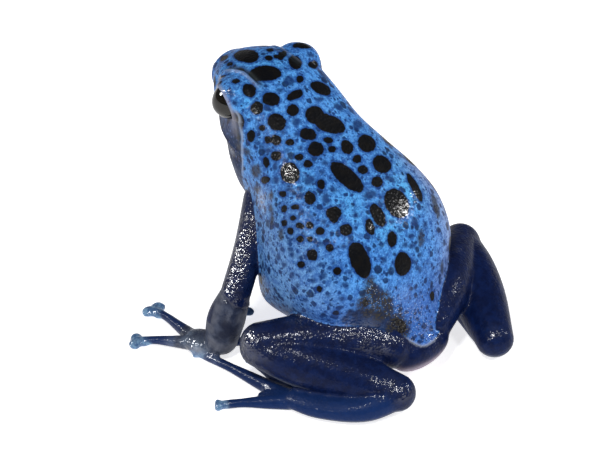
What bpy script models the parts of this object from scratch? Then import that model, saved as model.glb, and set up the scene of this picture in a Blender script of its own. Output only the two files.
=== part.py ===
# A blue poison dart frog sitting upright with its head raised, modelled life size.
# The frog faces -Y, its left side is +X and it sits on z = 0.
# One body surface is drawn round the trunk, head and limbs, then cut into named parts by thin gaps.
import math

import bmesh
import bpy
import numpy as np
from mathutils import Matrix, Vector

for old in list(bpy.data.objects):
    bpy.data.objects.remove(old)

frog = bpy.data.collections.new("poison_dart_frog")
cutters = bpy.data.collections.new("cutters")
for group in (frog, cutters):
    bpy.context.scene.collection.children.link(group)

# ---------------------------------------------------------------- driving dimensions, in millimetres
MM = 0.001
VOXEL = 0.30             # fineness of the body surface
FLOOR = 0.10             # level that the undersides of hands and feet are flattened to
CUT_GAP = 0.30           # width of the thin gaps between parts
CUT_SKIN = 0.40          # how far a cutting sleeve stands off the limb inside it
EYE_R = 2.12             # eyeball radius
EYE_GAP = 0.18           # clearance round the eyeball in its socket

# Trunk and head in the mid-plane, rump to snout: y, z of the section's centre, pitch of the spine in
# degrees, half-width, height above and below the centre, and how square the upper and lower halves are.
SPINE = (
    (-5.6,   2.7, 90,  3.8, 4.3,  5.6, 2.0, 2.0),
    (-5.6,   3.6, 87,  5.4, 4.9,  8.6, 2.0, 2.0),
    (-6.7,   5.1, 82,  7.2, 5.7, 11.8, 2.0, 2.0),
    (-7.9,   7.4, 74,  9.1, 5.6, 14.6, 2.1, 2.0),
    (-8.4,  10.7, 62, 10.7, 5.4, 16.0, 2.2, 2.0),
    (-10.4, 14.3, 51, 11.1, 5.4, 15.8, 2.2, 2.0),
    (-13.2, 17.2, 43, 10.3, 5.0, 13.6, 2.2, 2.1),
    (-16.1, 19.8, 38,  8.8, 4.5, 11.6, 2.2, 2.2),
    (-19.0, 22.3, 33,  7.4, 4.1, 10.3, 2.3, 2.3),
    (-21.9, 24.5, 24,  7.0, 4.1, 10.0, 2.4, 2.5),
    (-24.7, 26.1, 14,  6.7, 4.1,  8.4, 2.5, 2.5),
    (-27.4, 26.9,  5,  5.8, 3.8,  6.1, 2.4, 2.4),
    (-29.6, 27.0, -2,  4.4, 3.1,  4.1, 2.3, 2.2),
    (-31.2, 27.0, -8,  2.9, 2.3,  2.6, 2.1, 2.0),
)
VENT = ((-0.1, -1.5, 3.4), (4.2, 1.8, 2.1))     # soft end of the rump under the tail flap
NECK = ((0.0, -21.2, 23.6), 33)     # point on the neck cut and its pitch
EYE = (5.35, -25.8, 27.8)           # left eyeball centre
LOOK = (0.81, -0.47, -0.30)         # direction the left eye opening faces
LID_RADII = (2.60, 2.85, 2.45)      # fleshy dome round the eyeball

# Limb joints; +x is the left side.
ARM = {
    "L": {"shoulder": (5.3, -20.9, 16.8), "elbow": (12.2, -18.4, 8.6), "wrist": (13.2, -19.7, 2.25)},
    "R": {"shoulder": (-5.3, -20.9, 16.8), "elbow": (-12.2, -18.4, 8.6), "wrist": (-13.2, -19.7, 2.25)},
}
LEG = {
    "L": {"hip": (3.3, -2.9, 4.6), "knee": (14.3, -12.2, 6.0), "ankle": (6.7, 1.4, 2.5), "ball": (13.2, -4.2, 1.35)},
    "R": {"hip": (-3.3, -2.9, 4.6), "knee": (-15.6, -10.0, 5.6), "ankle": (-8.3, 2.2, 2.4), "ball": (-11.2, -4.4, 1.35)},
}
# Fingertips on the ground, inner finger first, and half the width of each disc.
FINGER_TIPS = {
    "L": ((9.2, -17.9), (5.9, -23.4), (13.2, -30.9), (18.7, -27.9)),
    "R": ((-9.0, -18.6), (-6.2, -24.6), (-13.6, -30.7), (-18.6, -27.2)),
}
FINGER_DISCS = (0.95, 1.15, 1.58, 1.42)
# Toe tips on the ground, inner toe first; the fourth toe is the longest.
TOE_TIPS = {
    "L": ((10.3, -10.7), (10.4, -13.7), (11.9, -16.3), (15.2, -21.4), (20.3, -12.8)),
    "R": ((-11.2, -10.2), (-11.3, -13.6), (-12.8, -16.6), (-15.6, -20.4), (-21.0, -11.6)),
}
TOE_DISCS = (0.62, 0.70, 0.80, 0.92, 0.88)

# Triangles the whole body surface is simplified to, and each kind of cutting sleeve.
BODY_TRIANGLES = 3900
SLEEVE_TRIANGLES = {"upper_arm": 48, "forearm": 48, "hand": 220, "thigh": 52, "shank": 48, "foot": 250}


# ---------------------------------------------------------------- curves and surfaces
def along(rows, count):
    """Rows (position first) read from a smooth curve through them, evenly spaced by distance."""
    rows = np.array(rows, float)
    step = np.linalg.norm(np.diff(rows[:, :3], axis=0), axis=1) ** 0.5
    knots = np.concatenate([[0], np.cumsum(step)])
    ends = np.vstack([2 * rows[0] - rows[1], rows, 2 * rows[-1] - rows[-2]])
    t = np.concatenate([[-step[0]], knots, [knots[-1] + step[-1]]])

    def at(u):
        i = int(min(max(np.searchsorted(knots, u, side="right"), 1), len(rows) - 1))
        p0, p1, p2, p3 = ends[i - 1], ends[i], ends[i + 1], ends[i + 2]
        t0, t1, t2, t3 = t[i - 1], t[i], t[i + 1], t[i + 2]
        a1 = (t1 - u) / (t1 - t0) * p0 + (u - t0) / (t1 - t0) * p1
        a2 = (t2 - u) / (t2 - t1) * p1 + (u - t1) / (t2 - t1) * p2
        a3 = (t3 - u) / (t3 - t2) * p2 + (u - t2) / (t3 - t2) * p3
        b1 = (t2 - u) / (t2 - t0) * a1 + (u - t0) / (t2 - t0) * a2
        b2 = (t3 - u) / (t3 - t1) * a2 + (u - t1) / (t3 - t1) * a3
        return (t2 - u) / (t2 - t1) * b1 + (u - t1) / (t2 - t1) * b2

    fine = np.array([at(u) for u in np.linspace(0, knots[-1], 12 * len(rows))])
    length = np.concatenate(
        [[0], np.cumsum(np.linalg.norm(np.diff(fine[:, :3], axis=0), axis=1))]
    )
    want = np.linspace(0, length[-1], count)
    return np.stack([np.interp(want, length, fine[:, k]) for k in range(fine.shape[1])], 1)


def new_object(name, mesh):
    obj = bpy.data.objects.new(name, mesh)
    cutters.objects.link(obj)
    return obj


def skin_rings(name, rings):
    """A closed surface over rings of points, with a pole at the middle of the first and the last."""
    bm = bmesh.new()
    loops = [[bm.verts.new(p * MM) for p in ring] for ring in rings]
    for one, two in zip(loops, loops[1:]):
        for i in range(len(one)):
            j = (i + 1) % len(one)
            bm.faces.new((one[i], one[j], two[j], two[i]))
    for loop, ring in ((loops[0], rings[0]), (loops[-1], rings[-1])):
        pole = bm.verts.new(np.mean(ring, axis=0) * MM)
        for i in range(len(loop)):
            bm.faces.new((loop[i], pole, loop[(i + 1) % len(loop)]))
    bmesh.ops.recalc_face_normals(bm, faces=bm.faces)
    mesh = bpy.data.meshes.new(name)
    bm.to_mesh(mesh)
    bm.free()
    return new_object(name, mesh)


def limb(name, rows, up=(0, 0, 1), around=20, grow=0.0):
    """A fleshy rod through rows of x, y, z, radius across and radius along `up`, with round ends."""
    rows = np.array(rows, float)
    rows[:, 3:5] += grow
    span = np.linalg.norm(np.diff(rows[:, :3], axis=0), axis=1).sum()
    path = along(rows, max(6, int(span / (0.45 * rows[:, 3:5].mean())) + 2))
    tangent = np.gradient(path[:, :3], axis=0)
    tangent /= np.linalg.norm(tangent, axis=1)[:, None]
    up = np.array(up, float)
    angles = np.linspace(0, 2 * math.pi, around, endpoint=False)

    def ring(row, t, scale=1.0, ahead=0.0):
        side = np.cross(up, t)
        side /= np.linalg.norm(side)
        top = np.cross(t, side)
        return (
            row[:3]
            + ahead * t
            + np.outer(np.cos(angles) * row[3] * scale, side)
            + np.outer(np.sin(angles) * row[4] * scale, top)
        )

    caps = np.radians((78, 55, 30))
    first, last = min(path[0, 3:5]), min(path[-1, 3:5])
    rings = [ring(path[0], tangent[0], math.cos(a), -first * math.sin(a)) for a in caps]
    rings += [ring(row, t) for row, t in zip(path, tangent)]
    rings += [ring(path[-1], tangent[-1], math.cos(a), last * math.sin(a)) for a in caps[::-1]]
    return skin_rings(name, rings)


def torso(name, stations, count=60, around=40):
    """The body and head: rings of unlike sections along the bent spine, with round ends."""
    path = along(np.array([(0, *row) for row in stations]), count)
    angles = np.linspace(0, 2 * math.pi, around, endpoint=False)
    c, s = np.cos(angles), np.sin(angles)

    def ring(row, scale=1.0, ahead=0.0):
        _, y, z, pitch, w, u, d, nu, nd = row
        p = math.radians(pitch)
        normal = np.array([0, math.sin(p), math.cos(p)])
        tangent = np.array([0, -math.cos(p), math.sin(p)])
        n = np.where(s > 0, nu, nd)
        x = scale * w * np.sign(c) * np.abs(c) ** (2 / n)
        h = scale * np.where(s > 0, u, d) * np.sign(s) * np.abs(s) ** (2 / n)
        middle = np.array([0, y, z]) + ahead * tangent + (1 - scale) * 0.5 * (u - d) * normal
        return middle + np.outer(x, (1, 0, 0)) + np.outer(h, normal)

    caps = np.radians((75, 52, 28))
    rings = [ring(path[0], math.cos(a), -1.3 * math.sin(a)) for a in caps]
    rings += [ring(row) for row in path]
    rings += [ring(path[-1], math.cos(a), 1.5 * math.sin(a)) for a in caps[::-1]]
    return skin_rings(name, rings)


def blob(name, centre, radii, turn=0.0, segments=32, rows=20):
    """An ellipsoid, turned about the vertical by `turn` degrees."""
    bm = bmesh.new()
    bmesh.ops.create_uvsphere(bm, u_segments=segments, v_segments=rows, radius=1)
    size = Matrix.Diagonal((*[r * MM for r in radii], 1))
    place = Matrix.Translation(Vector(centre) * MM) @ Matrix.Rotation(math.radians(turn), 4, "Z")
    bmesh.ops.transform(bm, matrix=place @ size, verts=bm.verts)
    mesh = bpy.data.meshes.new(name)
    bm.to_mesh(mesh)
    bm.free()
    return new_object(name, mesh)


def settle(obj, build):
    """Applies one modifier, set up by `build`, to the object's mesh."""
    build(obj)
    graph = bpy.context.evaluated_depsgraph_get()
    made = bpy.data.meshes.new_from_object(obj.evaluated_get(graph))
    obj.modifiers.clear()
    obj.data = made
    return obj


def fuse(name, objects, voxel):
    """One closed surface round all the objects, which are removed."""
    bm = bmesh.new()
    for o in objects:
        bm.from_mesh(o.data)
        bpy.data.objects.remove(o)
    mesh = bpy.data.meshes.new(name)
    bm.to_mesh(mesh)
    bm.free()

    def build(obj):
        remesh = obj.modifiers.new("Remesh", "REMESH")
        remesh.mode, remesh.voxel_size, remesh.adaptivity = "VOXEL", voxel * MM, 0

    return settle(new_object(name, mesh), build)


def simplify(obj, triangles):
    obj.data.calc_loop_triangles()
    ratio = min(1.0, triangles / max(1, len(obj.data.loop_triangles)))

    def build(o):
        cut = o.modifiers.new("Decimate", "DECIMATE")
        cut.ratio, cut.use_collapse_triangulate = ratio, True

    return settle(obj, build)


def carve(obj, cutter, operation):
    def build(o):
        cut = o.modifiers.new("Boolean", "BOOLEAN")
        cut.solver, cut.operation, cut.object = "EXACT", operation, cutter

    return settle(obj, build)


def copy_of(name, obj):
    return new_object(name, obj.data.copy())


def points_of(obj):
    co = np.empty(len(obj.data.vertices) * 3, np.float32)
    obj.data.vertices.foreach_get("co", co)
    return co.reshape(-1, 3).astype(float) / MM


def put_points(obj, points):
    obj.data.vertices.foreach_set("co", (points * MM).astype(np.float32).ravel())
    obj.data.update()


def swollen(obj, by):
    """A copy of the object with its surface moved outward."""
    made = copy_of("swollen", obj)
    normals = np.array([v.normal[:] for v in made.data.vertices])
    put_points(made, points_of(made) + by * normals)
    return made


def relax(obj, rounds):
    """Smooths the voxel steps: each point is pulled to its neighbours, then pushed back."""
    points = points_of(obj)
    edges = np.empty(len(obj.data.edges) * 2, np.int32)
    obj.data.edges.foreach_get("vertices", edges)
    edges = edges.reshape(-1, 2)
    count = np.bincount(edges.ravel(), minlength=len(points))[:, None]
    for _ in range(rounds):
        for factor in (0.5, -0.52):
            total = np.stack(
                [
                    np.bincount(edges[:, 0], points[edges[:, 1], k], len(points))
                    + np.bincount(edges[:, 1], points[edges[:, 0], k], len(points))
                    for k in range(3)
                ],
                1,
            )
            points = points + factor * (total / count - points)
    put_points(obj, points)


def flatten_underside(obj):
    """Presses whatever hangs below the floor level up to it, so hands and feet rest on small flats."""
    points = points_of(obj)
    points[:, 2] = np.maximum(points[:, 2], FLOOR)
    put_points(obj, points)


def largest_piece(obj):
    """Drops slivers that a cut has left loose, and welds nothing."""
    bm = bmesh.new()
    bm.from_mesh(obj.data)
    bm.verts.ensure_lookup_table()
    seen, groups = set(), []
    for v in bm.verts:
        if v.index in seen:
            continue
        stack, group = [v], []
        seen.add(v.index)
        while stack:
            one = stack.pop()
            group.append(one)
            for e in one.link_edges:
                two = e.other_vert(one)
                if two.index not in seen:
                    seen.add(two.index)
                    stack.append(two)
        groups.append(group)
    groups.sort(key=len, reverse=True)
    for group in groups[1:]:
        bmesh.ops.delete(bm, geom=group, context="VERTS")
    bmesh.ops.triangulate(bm, faces=bm.faces)
    bm.to_mesh(obj.data)
    bm.free()


# ---------------------------------------------------------------- fleshy pieces
def digit(base, tip, radii, disc, lift, grow):
    """A finger or toe from its base to its disc on the ground, and the disc."""
    base, tip = np.array(base, float), np.array(tip, float)
    way = tip - base
    r0, r1, r2 = radii
    turn = math.degrees(math.atan2(way[1], way[0])) - 90
    return [
        limb(
            "digit",
            (
                (*base, r0, 0.95 * r0),
                (*(base + 0.34 * way + (0, 0, 0.5 * lift)), r1, 0.95 * r1),
                (*(base + 0.66 * way + (0, 0, lift)), r2, r2),
                (*(base + 0.88 * way + (0, 0, 0.4 * lift)), 1.05 * r2, 0.95 * r2),
                (*tip, 0.30 + 0.25 * disc, 0.42),
            ),
            around=14,
            grow=grow,
        ),
        blob(
            "disc",
            (tip[0], tip[1], 0.40),
            (disc + grow, 0.48 * disc + grow, 0.42 + grow),
            turn,
        ),
    ]


def hand(side, grow=0.0):
    """Palm and four fingers, spread on the ground round the wrist."""
    s = 1 if side == "L" else -1
    wrist = np.array(ARM[side]["wrist"])
    palm = np.array([wrist[0] + 1.0 * s, wrist[1] - 2.3, 1.1])
    made = [blob("palm", palm, (1.9 + grow, 2.2 + grow, 1.1 + grow))]
    for tip, disc in zip(FINGER_TIPS[side], FINGER_DISCS):
        tip = np.array([*tip, 0.5])
        way = (tip - palm) / np.linalg.norm(tip - palm)
        base = palm + 0.9 * way + (0, 0, -0.15)
        made += digit(base, tip, (0.95, 0.70, 0.49), disc, 0.2, grow)
    return made


def foot(side, grow=0.0):
    """Tarsus folded under the shank, sole and five toes."""
    leg = LEG[side]
    s = 1 if side == "L" else -1
    ankle, ball = np.array(leg["ankle"]), np.array(leg["ball"])
    bow = np.array((1.1, 0.9, -0.3) if side == "L" else (0.2, 0.3, -0.3))
    sole = ball + (0.75 * s, -2.8, -0.15)
    made = [
        limb(
            "tarsus",
            (
                (*ankle, 1.9, 1.9),
                (*(0.6 * ankle + 0.4 * ball + bow), 1.75, 1.5),
                (*ball, 1.85, 1.3),
                (*sole, 1.75, 1.1),
            ),
            around=18,
            grow=grow,
        )
    ]
    web = sole + (2.3 * s, -3.1, -0.45)      # the outer two toes part well past the sole
    made.append(limb("web", ((*sole, 1.5, 0.95), (*web, 0.95, 0.60)), around=14, grow=grow))
    for n, (tip, disc) in enumerate(zip(TOE_TIPS[side], TOE_DISCS)):
        radii = (1.05, 0.80, 0.52) if n > 2 else (0.85, 0.66, 0.50)
        base = sole + ((n - 2.2) * 0.42 * s, -0.6 + 0.25 * abs(n - 3), -0.25)
        made += digit(base, (*tip, 0.45), radii, disc, 0.12, grow)
    return made


def upper_arm(side, grow=0.0, root=0.0):
    shoulder, elbow = np.array(ARM[side]["shoulder"]), np.array(ARM[side]["elbow"])
    start = shoulder + root * (elbow - shoulder)
    middle = 0.5 * (start + elbow)
    rows = ((*start, 2.35 - root, 2.25 - root), (*middle, 1.75, 1.75), (*elbow, 1.7, 1.7))
    return [limb("upper_arm", rows, (0, -1, 0), grow=grow)]


def forearm(side, grow=0.0):
    elbow, wrist = np.array(ARM[side]["elbow"]), np.array(ARM[side]["wrist"])
    belly = 0.5 * (elbow + wrist) + (0.3 if side == "L" else -0.3, 0, 0)
    rows = ((*elbow, 1.7, 1.7), (*belly, 2.25, 2.1), (*wrist, 1.95, 1.85))
    return [limb("forearm", rows, (0, -1, 0), grow=grow)]


def thigh(side, grow=0.0, root=0.0):
    hip, knee = np.array(LEG[side]["hip"]), np.array(LEG[side]["knee"])
    rows = (
        (*(hip + root * (knee - hip)), 2.4, 2.3),
        (*(0.72 * hip + 0.28 * knee + (0, 0, 0.8)), 3.2, 3.2),
        (*(0.4 * hip + 0.6 * knee + (0, 0, 0.5)), 3.2, 3.4),
        (*knee, 2.4, 2.6),
    )
    return [limb("thigh", rows, grow=grow)]


def shank(side, grow=0.0):
    knee, ankle = np.array(LEG[side]["knee"]), np.array(LEG[side]["ankle"])
    rows = (
        (*(knee + (0, 0, -0.3)), 2.4, 2.45),
        (*(0.75 * knee + 0.25 * ankle + (0, 0, -0.2)), 3.0, 3.0),
        (*(0.42 * knee + 0.58 * ankle), 3.0, 2.95),
        (*ankle, 2.2, 2.1),
    )
    return [limb("shank", rows, grow=grow)]


def lids():
    x, y, z = EYE
    return [blob("lid", (s * (x - 0.35), y, z + 0.1), LID_RADII) for s in (1, -1)]


def half_space(point, normal, name="half"):
    """A big block with one face through `point`, lying on the side `normal` points to."""
    bm = bmesh.new()
    bmesh.ops.create_cube(bm, size=1)
    turn = Vector(normal).normalized().to_track_quat("Z", "Y").to_matrix().to_4x4()
    place = Matrix.Translation(Vector(point) * MM) @ turn
    place = place @ Matrix.Translation((0, 0, 0.06)) @ Matrix.Scale(0.12, 4)
    bmesh.ops.transform(bm, matrix=place, verts=bm.verts)
    mesh = bpy.data.meshes.new(name)
    bm.to_mesh(mesh)
    bm.free()
    return new_object(name, mesh)


# ---------------------------------------------------------------- the whole body in one surface
pieces = [torso("torso", SPINE), blob("vent", VENT[0], VENT[1])] + lids()
for side in "LR":
    pieces += upper_arm(side) + forearm(side) + hand(side)
    pieces += thigh(side) + shank(side) + foot(side)
body = fuse("body", pieces, VOXEL)
relax(body, 6)
flatten_underside(body)
simplify(body, BODY_TRIANGLES)
flatten_underside(body)
largest_piece(body)

# ---------------------------------------------------------------- parts, each cut out by a sleeve round it
# Sleeves in the order they claim flesh: a later part gives way to the earlier ones by the gap.
sleeves = []
for side in "LR":
    sleeves += [
        ("foot_" + side, lambda g, s=side: foot(s, g)),
        ("hand_" + side, lambda g, s=side: hand(s, g)),
        ("shank_" + side, lambda g, s=side: shank(s, g)),
        ("thigh_" + side, lambda g, s=side: thigh(s, g, 0.16)),
        ("forearm_" + side, lambda g, s=side: forearm(s, g)),
        ("upper_arm_" + side, lambda g, s=side: upper_arm(s, g, 0.2)),
    ]

parts, claimed = {}, []
for name, pieces_of in sleeves:
    inner = fuse("sleeve", pieces_of(CUT_SKIN - CUT_GAP / 2), 0.35)
    simplify(inner, SLEEVE_TRIANGLES[name[:-2]])
    outer = swollen(inner, CUT_GAP)
    part = carve(copy_of(name, body), inner, "INTERSECT")
    side = name[-2:]
    for other, taken in claimed:
        if other.endswith(side):
            part = carve(part, taken, "DIFFERENCE")
    bpy.data.objects.remove(inner)
    claimed.append((name, outer))
    largest_piece(part)
    parts[name] = part

rest = copy_of("rest", body)
for name, taken in claimed:
    rest = carve(rest, taken, "DIFFERENCE")
    bpy.data.objects.remove(taken)
bpy.data.objects.remove(body)
largest_piece(rest)

pitch = math.radians(NECK[1])
forward = np.array([0, -math.cos(pitch), math.sin(pitch)])
for name, way in (("head", forward), ("trunk", -forward)):
    block = half_space(np.array(NECK[0]) + way * CUT_GAP / 2, way)
    parts[name] = carve(copy_of(name, rest), block, "INTERSECT")
    bpy.data.objects.remove(block)
bpy.data.objects.remove(rest)

for s in (1, -1):
    centre = np.array((s * EYE[0], EYE[1], EYE[2]))
    look = np.array((s * LOOK[0], LOOK[1], LOOK[2])) / np.linalg.norm(LOOK)
    for middle, radius in ((centre, EYE_R + EYE_GAP), (centre + 2.0 * look, 2.55)):
        ball = blob("ball", middle, (radius,) * 3, 0, 14, 9)
        parts["head"] = carve(parts["head"], ball, "DIFFERENCE")
        bpy.data.objects.remove(ball)
for name in ("head", "trunk"):
    largest_piece(parts[name])

for side, s in (("L", 1), ("R", -1)):
    parts["eye_" + side] = blob("eye_" + side, (s * EYE[0], EYE[1], EYE[2]), (EYE_R,) * 3, 0, 16, 10)

# ---------------------------------------------------------------- stand the frog over the middle of its footprint
everything = np.vstack([points_of(part) for part in parts.values()])
low, high = everything.min(0), everything.max(0)
shift = np.array([-(low[0] + high[0]) / 2, -(low[1] + high[1]) / 2, -low[2]])

# ---------------------------------------------------------------- one material for each part
COLOURS = {
    "head": (0.085, 0.30, 0.72), "trunk": (0.085, 0.30, 0.72), "upper_arm": (0.012, 0.025, 0.12),
    "forearm": (0.09, 0.12, 0.21), "hand": (0.03, 0.09, 0.24), "thigh": (0.008, 0.018, 0.10),
    "shank": (0.008, 0.018, 0.10), "foot": (0.02, 0.055, 0.26), "eye": (0.006, 0.006, 0.007),
}
for name, part in parts.items():
    put_points(part, points_of(part) + shift)
    part.name = name
    part.data.name = name
    base = name if name in COLOURS else name[:-2]
    material = bpy.data.materials.new(name)
    material.use_nodes = True
    shader = material.node_tree.nodes["Principled BSDF"]
    shader.inputs["Base Color"].default_value = (*COLOURS[base], 1)
    shader.inputs["Roughness"].default_value = 0.06 if base == "eye" else 0.35
    part.data.materials.clear()
    part.data.materials.append(material)
    part.data.shade_smooth()
    part.data.set_sharp_from_angle(angle=math.radians(40))
    cutters.objects.unlink(part)
    frog.objects.link(part)
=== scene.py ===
import math

import bmesh
import bpy
import numpy as np
from mathutils import Matrix, Vector
from mathutils.bvhtree import BVHTree


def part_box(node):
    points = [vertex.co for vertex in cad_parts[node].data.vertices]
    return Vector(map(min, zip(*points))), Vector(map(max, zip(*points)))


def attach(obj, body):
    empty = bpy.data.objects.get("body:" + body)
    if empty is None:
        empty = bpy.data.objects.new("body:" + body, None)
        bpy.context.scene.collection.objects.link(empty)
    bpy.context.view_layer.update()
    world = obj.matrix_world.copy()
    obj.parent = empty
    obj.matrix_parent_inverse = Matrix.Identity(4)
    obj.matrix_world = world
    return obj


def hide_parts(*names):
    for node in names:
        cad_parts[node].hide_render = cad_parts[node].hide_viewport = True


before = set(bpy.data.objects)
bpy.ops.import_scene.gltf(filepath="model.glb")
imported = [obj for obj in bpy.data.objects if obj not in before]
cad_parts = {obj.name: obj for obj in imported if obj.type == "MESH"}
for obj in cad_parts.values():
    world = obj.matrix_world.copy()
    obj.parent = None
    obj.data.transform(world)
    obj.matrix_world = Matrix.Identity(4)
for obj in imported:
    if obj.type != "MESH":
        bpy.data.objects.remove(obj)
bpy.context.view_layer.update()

MM = 0.001
SKIN_VOXEL = 0.205
EYE_R = 2.12

# ---------------------------------------------------------------- the solids' own measures
SPINE = (
    (-5.6,   2.7, 90,  3.8, 4.3,  5.6, 2.0, 2.0),
    (-5.6,   3.6, 87,  5.4, 4.9,  8.6, 2.0, 2.0),
    (-6.7,   5.1, 82,  7.2, 5.7, 11.8, 2.0, 2.0),
    (-7.9,   7.4, 74,  9.1, 5.6, 14.6, 2.1, 2.0),
    (-8.4,  10.7, 62, 10.7, 5.4, 16.0, 2.2, 2.0),
    (-10.4, 14.3, 51, 11.1, 5.4, 15.8, 2.2, 2.0),
    (-13.2, 17.2, 43, 10.3, 5.0, 13.6, 2.2, 2.1),
    (-16.1, 19.8, 38,  8.8, 4.5, 11.6, 2.2, 2.2),
    (-19.0, 22.3, 33,  7.4, 4.1, 10.3, 2.3, 2.3),
    (-21.9, 24.5, 24,  7.0, 4.1, 10.0, 2.4, 2.5),
    (-24.7, 26.1, 14,  6.7, 4.1,  8.4, 2.5, 2.5),
    (-27.4, 26.9,  5,  5.8, 3.8,  6.1, 2.4, 2.4),
    (-29.6, 27.0, -2,  4.4, 3.1,  4.1, 2.3, 2.2),
    (-31.2, 27.0, -8,  2.9, 2.3,  2.6, 2.1, 2.0),
)
VENT = ((-0.1, -1.5, 3.4), (4.2, 1.8, 2.1))
EYE = (5.35, -25.8, 27.8)
LOOK = (0.81, -0.47, -0.30)
LID_RADII = (2.60, 2.85, 2.45)
FLOOR = 0.10
ARM = {
    "L": {"shoulder": (5.3, -20.9, 16.8), "elbow": (12.2, -18.4, 8.6), "wrist": (13.2, -19.7, 2.25)},
    "R": {"shoulder": (-5.3, -20.9, 16.8), "elbow": (-12.2, -18.4, 8.6), "wrist": (-13.2, -19.7, 2.25)},
}
LEG = {
    "L": {"hip": (3.3, -2.9, 4.6), "knee": (14.3, -12.2, 6.0), "ankle": (6.7, 1.4, 2.5), "ball": (13.2, -4.2, 1.35)},
    "R": {"hip": (-3.3, -2.9, 4.6), "knee": (-15.6, -10.0, 5.6), "ankle": (-8.3, 2.2, 2.4), "ball": (-11.2, -4.4, 1.35)},
}
FINGER_TIPS = {
    "L": ((9.2, -17.9), (5.9, -23.4), (13.2, -30.9), (18.7, -27.9)),
    "R": ((-9.0, -18.6), (-6.2, -24.6), (-13.6, -30.7), (-18.6, -27.2)),
}
FINGER_DISCS = (0.95, 1.15, 1.58, 1.42)
TOE_TIPS = {
    "L": ((10.3, -10.7), (10.4, -13.7), (11.9, -16.3), (15.2, -21.4), (20.3, -12.8)),
    "R": ((-11.2, -10.2), (-11.3, -13.6), (-12.8, -16.6), (-15.6, -20.4), (-21.0, -11.6)),
}
TOE_DISCS = (0.62, 0.70, 0.80, 0.92, 0.88)

# The solids stand shifted from this drawing; the left eyeball shows by how much.
low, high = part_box("eye_L")
SHIFT = np.array((low + high) / 2) / MM - np.array(EYE)


# ---------------------------------------------------------------- curves and surfaces
def along(rows, count):
    """Rows (position first) read from a smooth curve through them, evenly spaced by distance."""
    rows = np.array(rows, float)
    step = np.linalg.norm(np.diff(rows[:, :3], axis=0), axis=1) ** 0.5
    knots = np.concatenate([[0], np.cumsum(step)])
    ends = np.vstack([2 * rows[0] - rows[1], rows, 2 * rows[-1] - rows[-2]])
    t = np.concatenate([[-step[0]], knots, [knots[-1] + step[-1]]])

    def at(u):
        i = int(min(max(np.searchsorted(knots, u, side="right"), 1), len(rows) - 1))
        p0, p1, p2, p3 = ends[i - 1], ends[i], ends[i + 1], ends[i + 2]
        t0, t1, t2, t3 = t[i - 1], t[i], t[i + 1], t[i + 2]
        a1 = (t1 - u) / (t1 - t0) * p0 + (u - t0) / (t1 - t0) * p1
        a2 = (t2 - u) / (t2 - t1) * p1 + (u - t1) / (t2 - t1) * p2
        a3 = (t3 - u) / (t3 - t2) * p2 + (u - t2) / (t3 - t2) * p3
        b1 = (t2 - u) / (t2 - t0) * a1 + (u - t0) / (t2 - t0) * a2
        b2 = (t3 - u) / (t3 - t1) * a2 + (u - t1) / (t3 - t1) * a3
        return (t2 - u) / (t2 - t1) * b1 + (u - t1) / (t2 - t1) * b2

    fine = np.array([at(u) for u in np.linspace(0, knots[-1], 12 * len(rows))])
    length = np.concatenate(
        [[0], np.cumsum(np.linalg.norm(np.diff(fine[:, :3], axis=0), axis=1))]
    )
    want = np.linspace(0, length[-1], count)
    return np.stack([np.interp(want, length, fine[:, k]) for k in range(fine.shape[1])], 1)


def new_object(name, mesh):
    obj = bpy.data.objects.new(name, mesh)
    bpy.context.scene.collection.objects.link(obj)
    return obj


def skin_rings(name, rings):
    """A closed surface over rings of points, with a pole at the middle of the first and the last."""
    bm = bmesh.new()
    loops = [[bm.verts.new(p * MM) for p in ring] for ring in rings]
    for one, two in zip(loops, loops[1:]):
        for i in range(len(one)):
            j = (i + 1) % len(one)
            bm.faces.new((one[i], one[j], two[j], two[i]))
    for loop, ring in ((loops[0], rings[0]), (loops[-1], rings[-1])):
        pole = bm.verts.new(np.mean(ring, axis=0) * MM)
        for i in range(len(loop)):
            bm.faces.new((loop[i], pole, loop[(i + 1) % len(loop)]))
    bmesh.ops.recalc_face_normals(bm, faces=bm.faces)
    mesh = bpy.data.meshes.new(name)
    bm.to_mesh(mesh)
    bm.free()
    return new_object(name, mesh)


def limb(name, rows, up=(0, 0, 1), around=28):
    """A fleshy rod through rows of x, y, z, radius across and radius along `up`, with round ends."""
    rows = np.array(rows, float)
    span = np.linalg.norm(np.diff(rows[:, :3], axis=0), axis=1).sum()
    path = along(rows, max(8, int(span / (0.3 * rows[:, 3:5].mean())) + 2))
    tangent = np.gradient(path[:, :3], axis=0)
    tangent /= np.linalg.norm(tangent, axis=1)[:, None]
    up = np.array(up, float)
    angles = np.linspace(0, 2 * math.pi, around, endpoint=False)

    def ring(row, t, scale=1.0, ahead=0.0):
        side = np.cross(up, t)
        side /= np.linalg.norm(side)
        top = np.cross(t, side)
        return (
            row[:3]
            + ahead * t
            + np.outer(np.cos(angles) * row[3] * scale, side)
            + np.outer(np.sin(angles) * row[4] * scale, top)
        )

    caps = np.radians((82, 68, 52, 35, 18))
    first, last = min(path[0, 3:5]), min(path[-1, 3:5])
    rings = [ring(path[0], tangent[0], math.cos(a), -first * math.sin(a)) for a in caps]
    rings += [ring(row, t) for row, t in zip(path, tangent)]
    rings += [ring(path[-1], tangent[-1], math.cos(a), last * math.sin(a)) for a in caps[::-1]]
    return skin_rings(name, rings)


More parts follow.
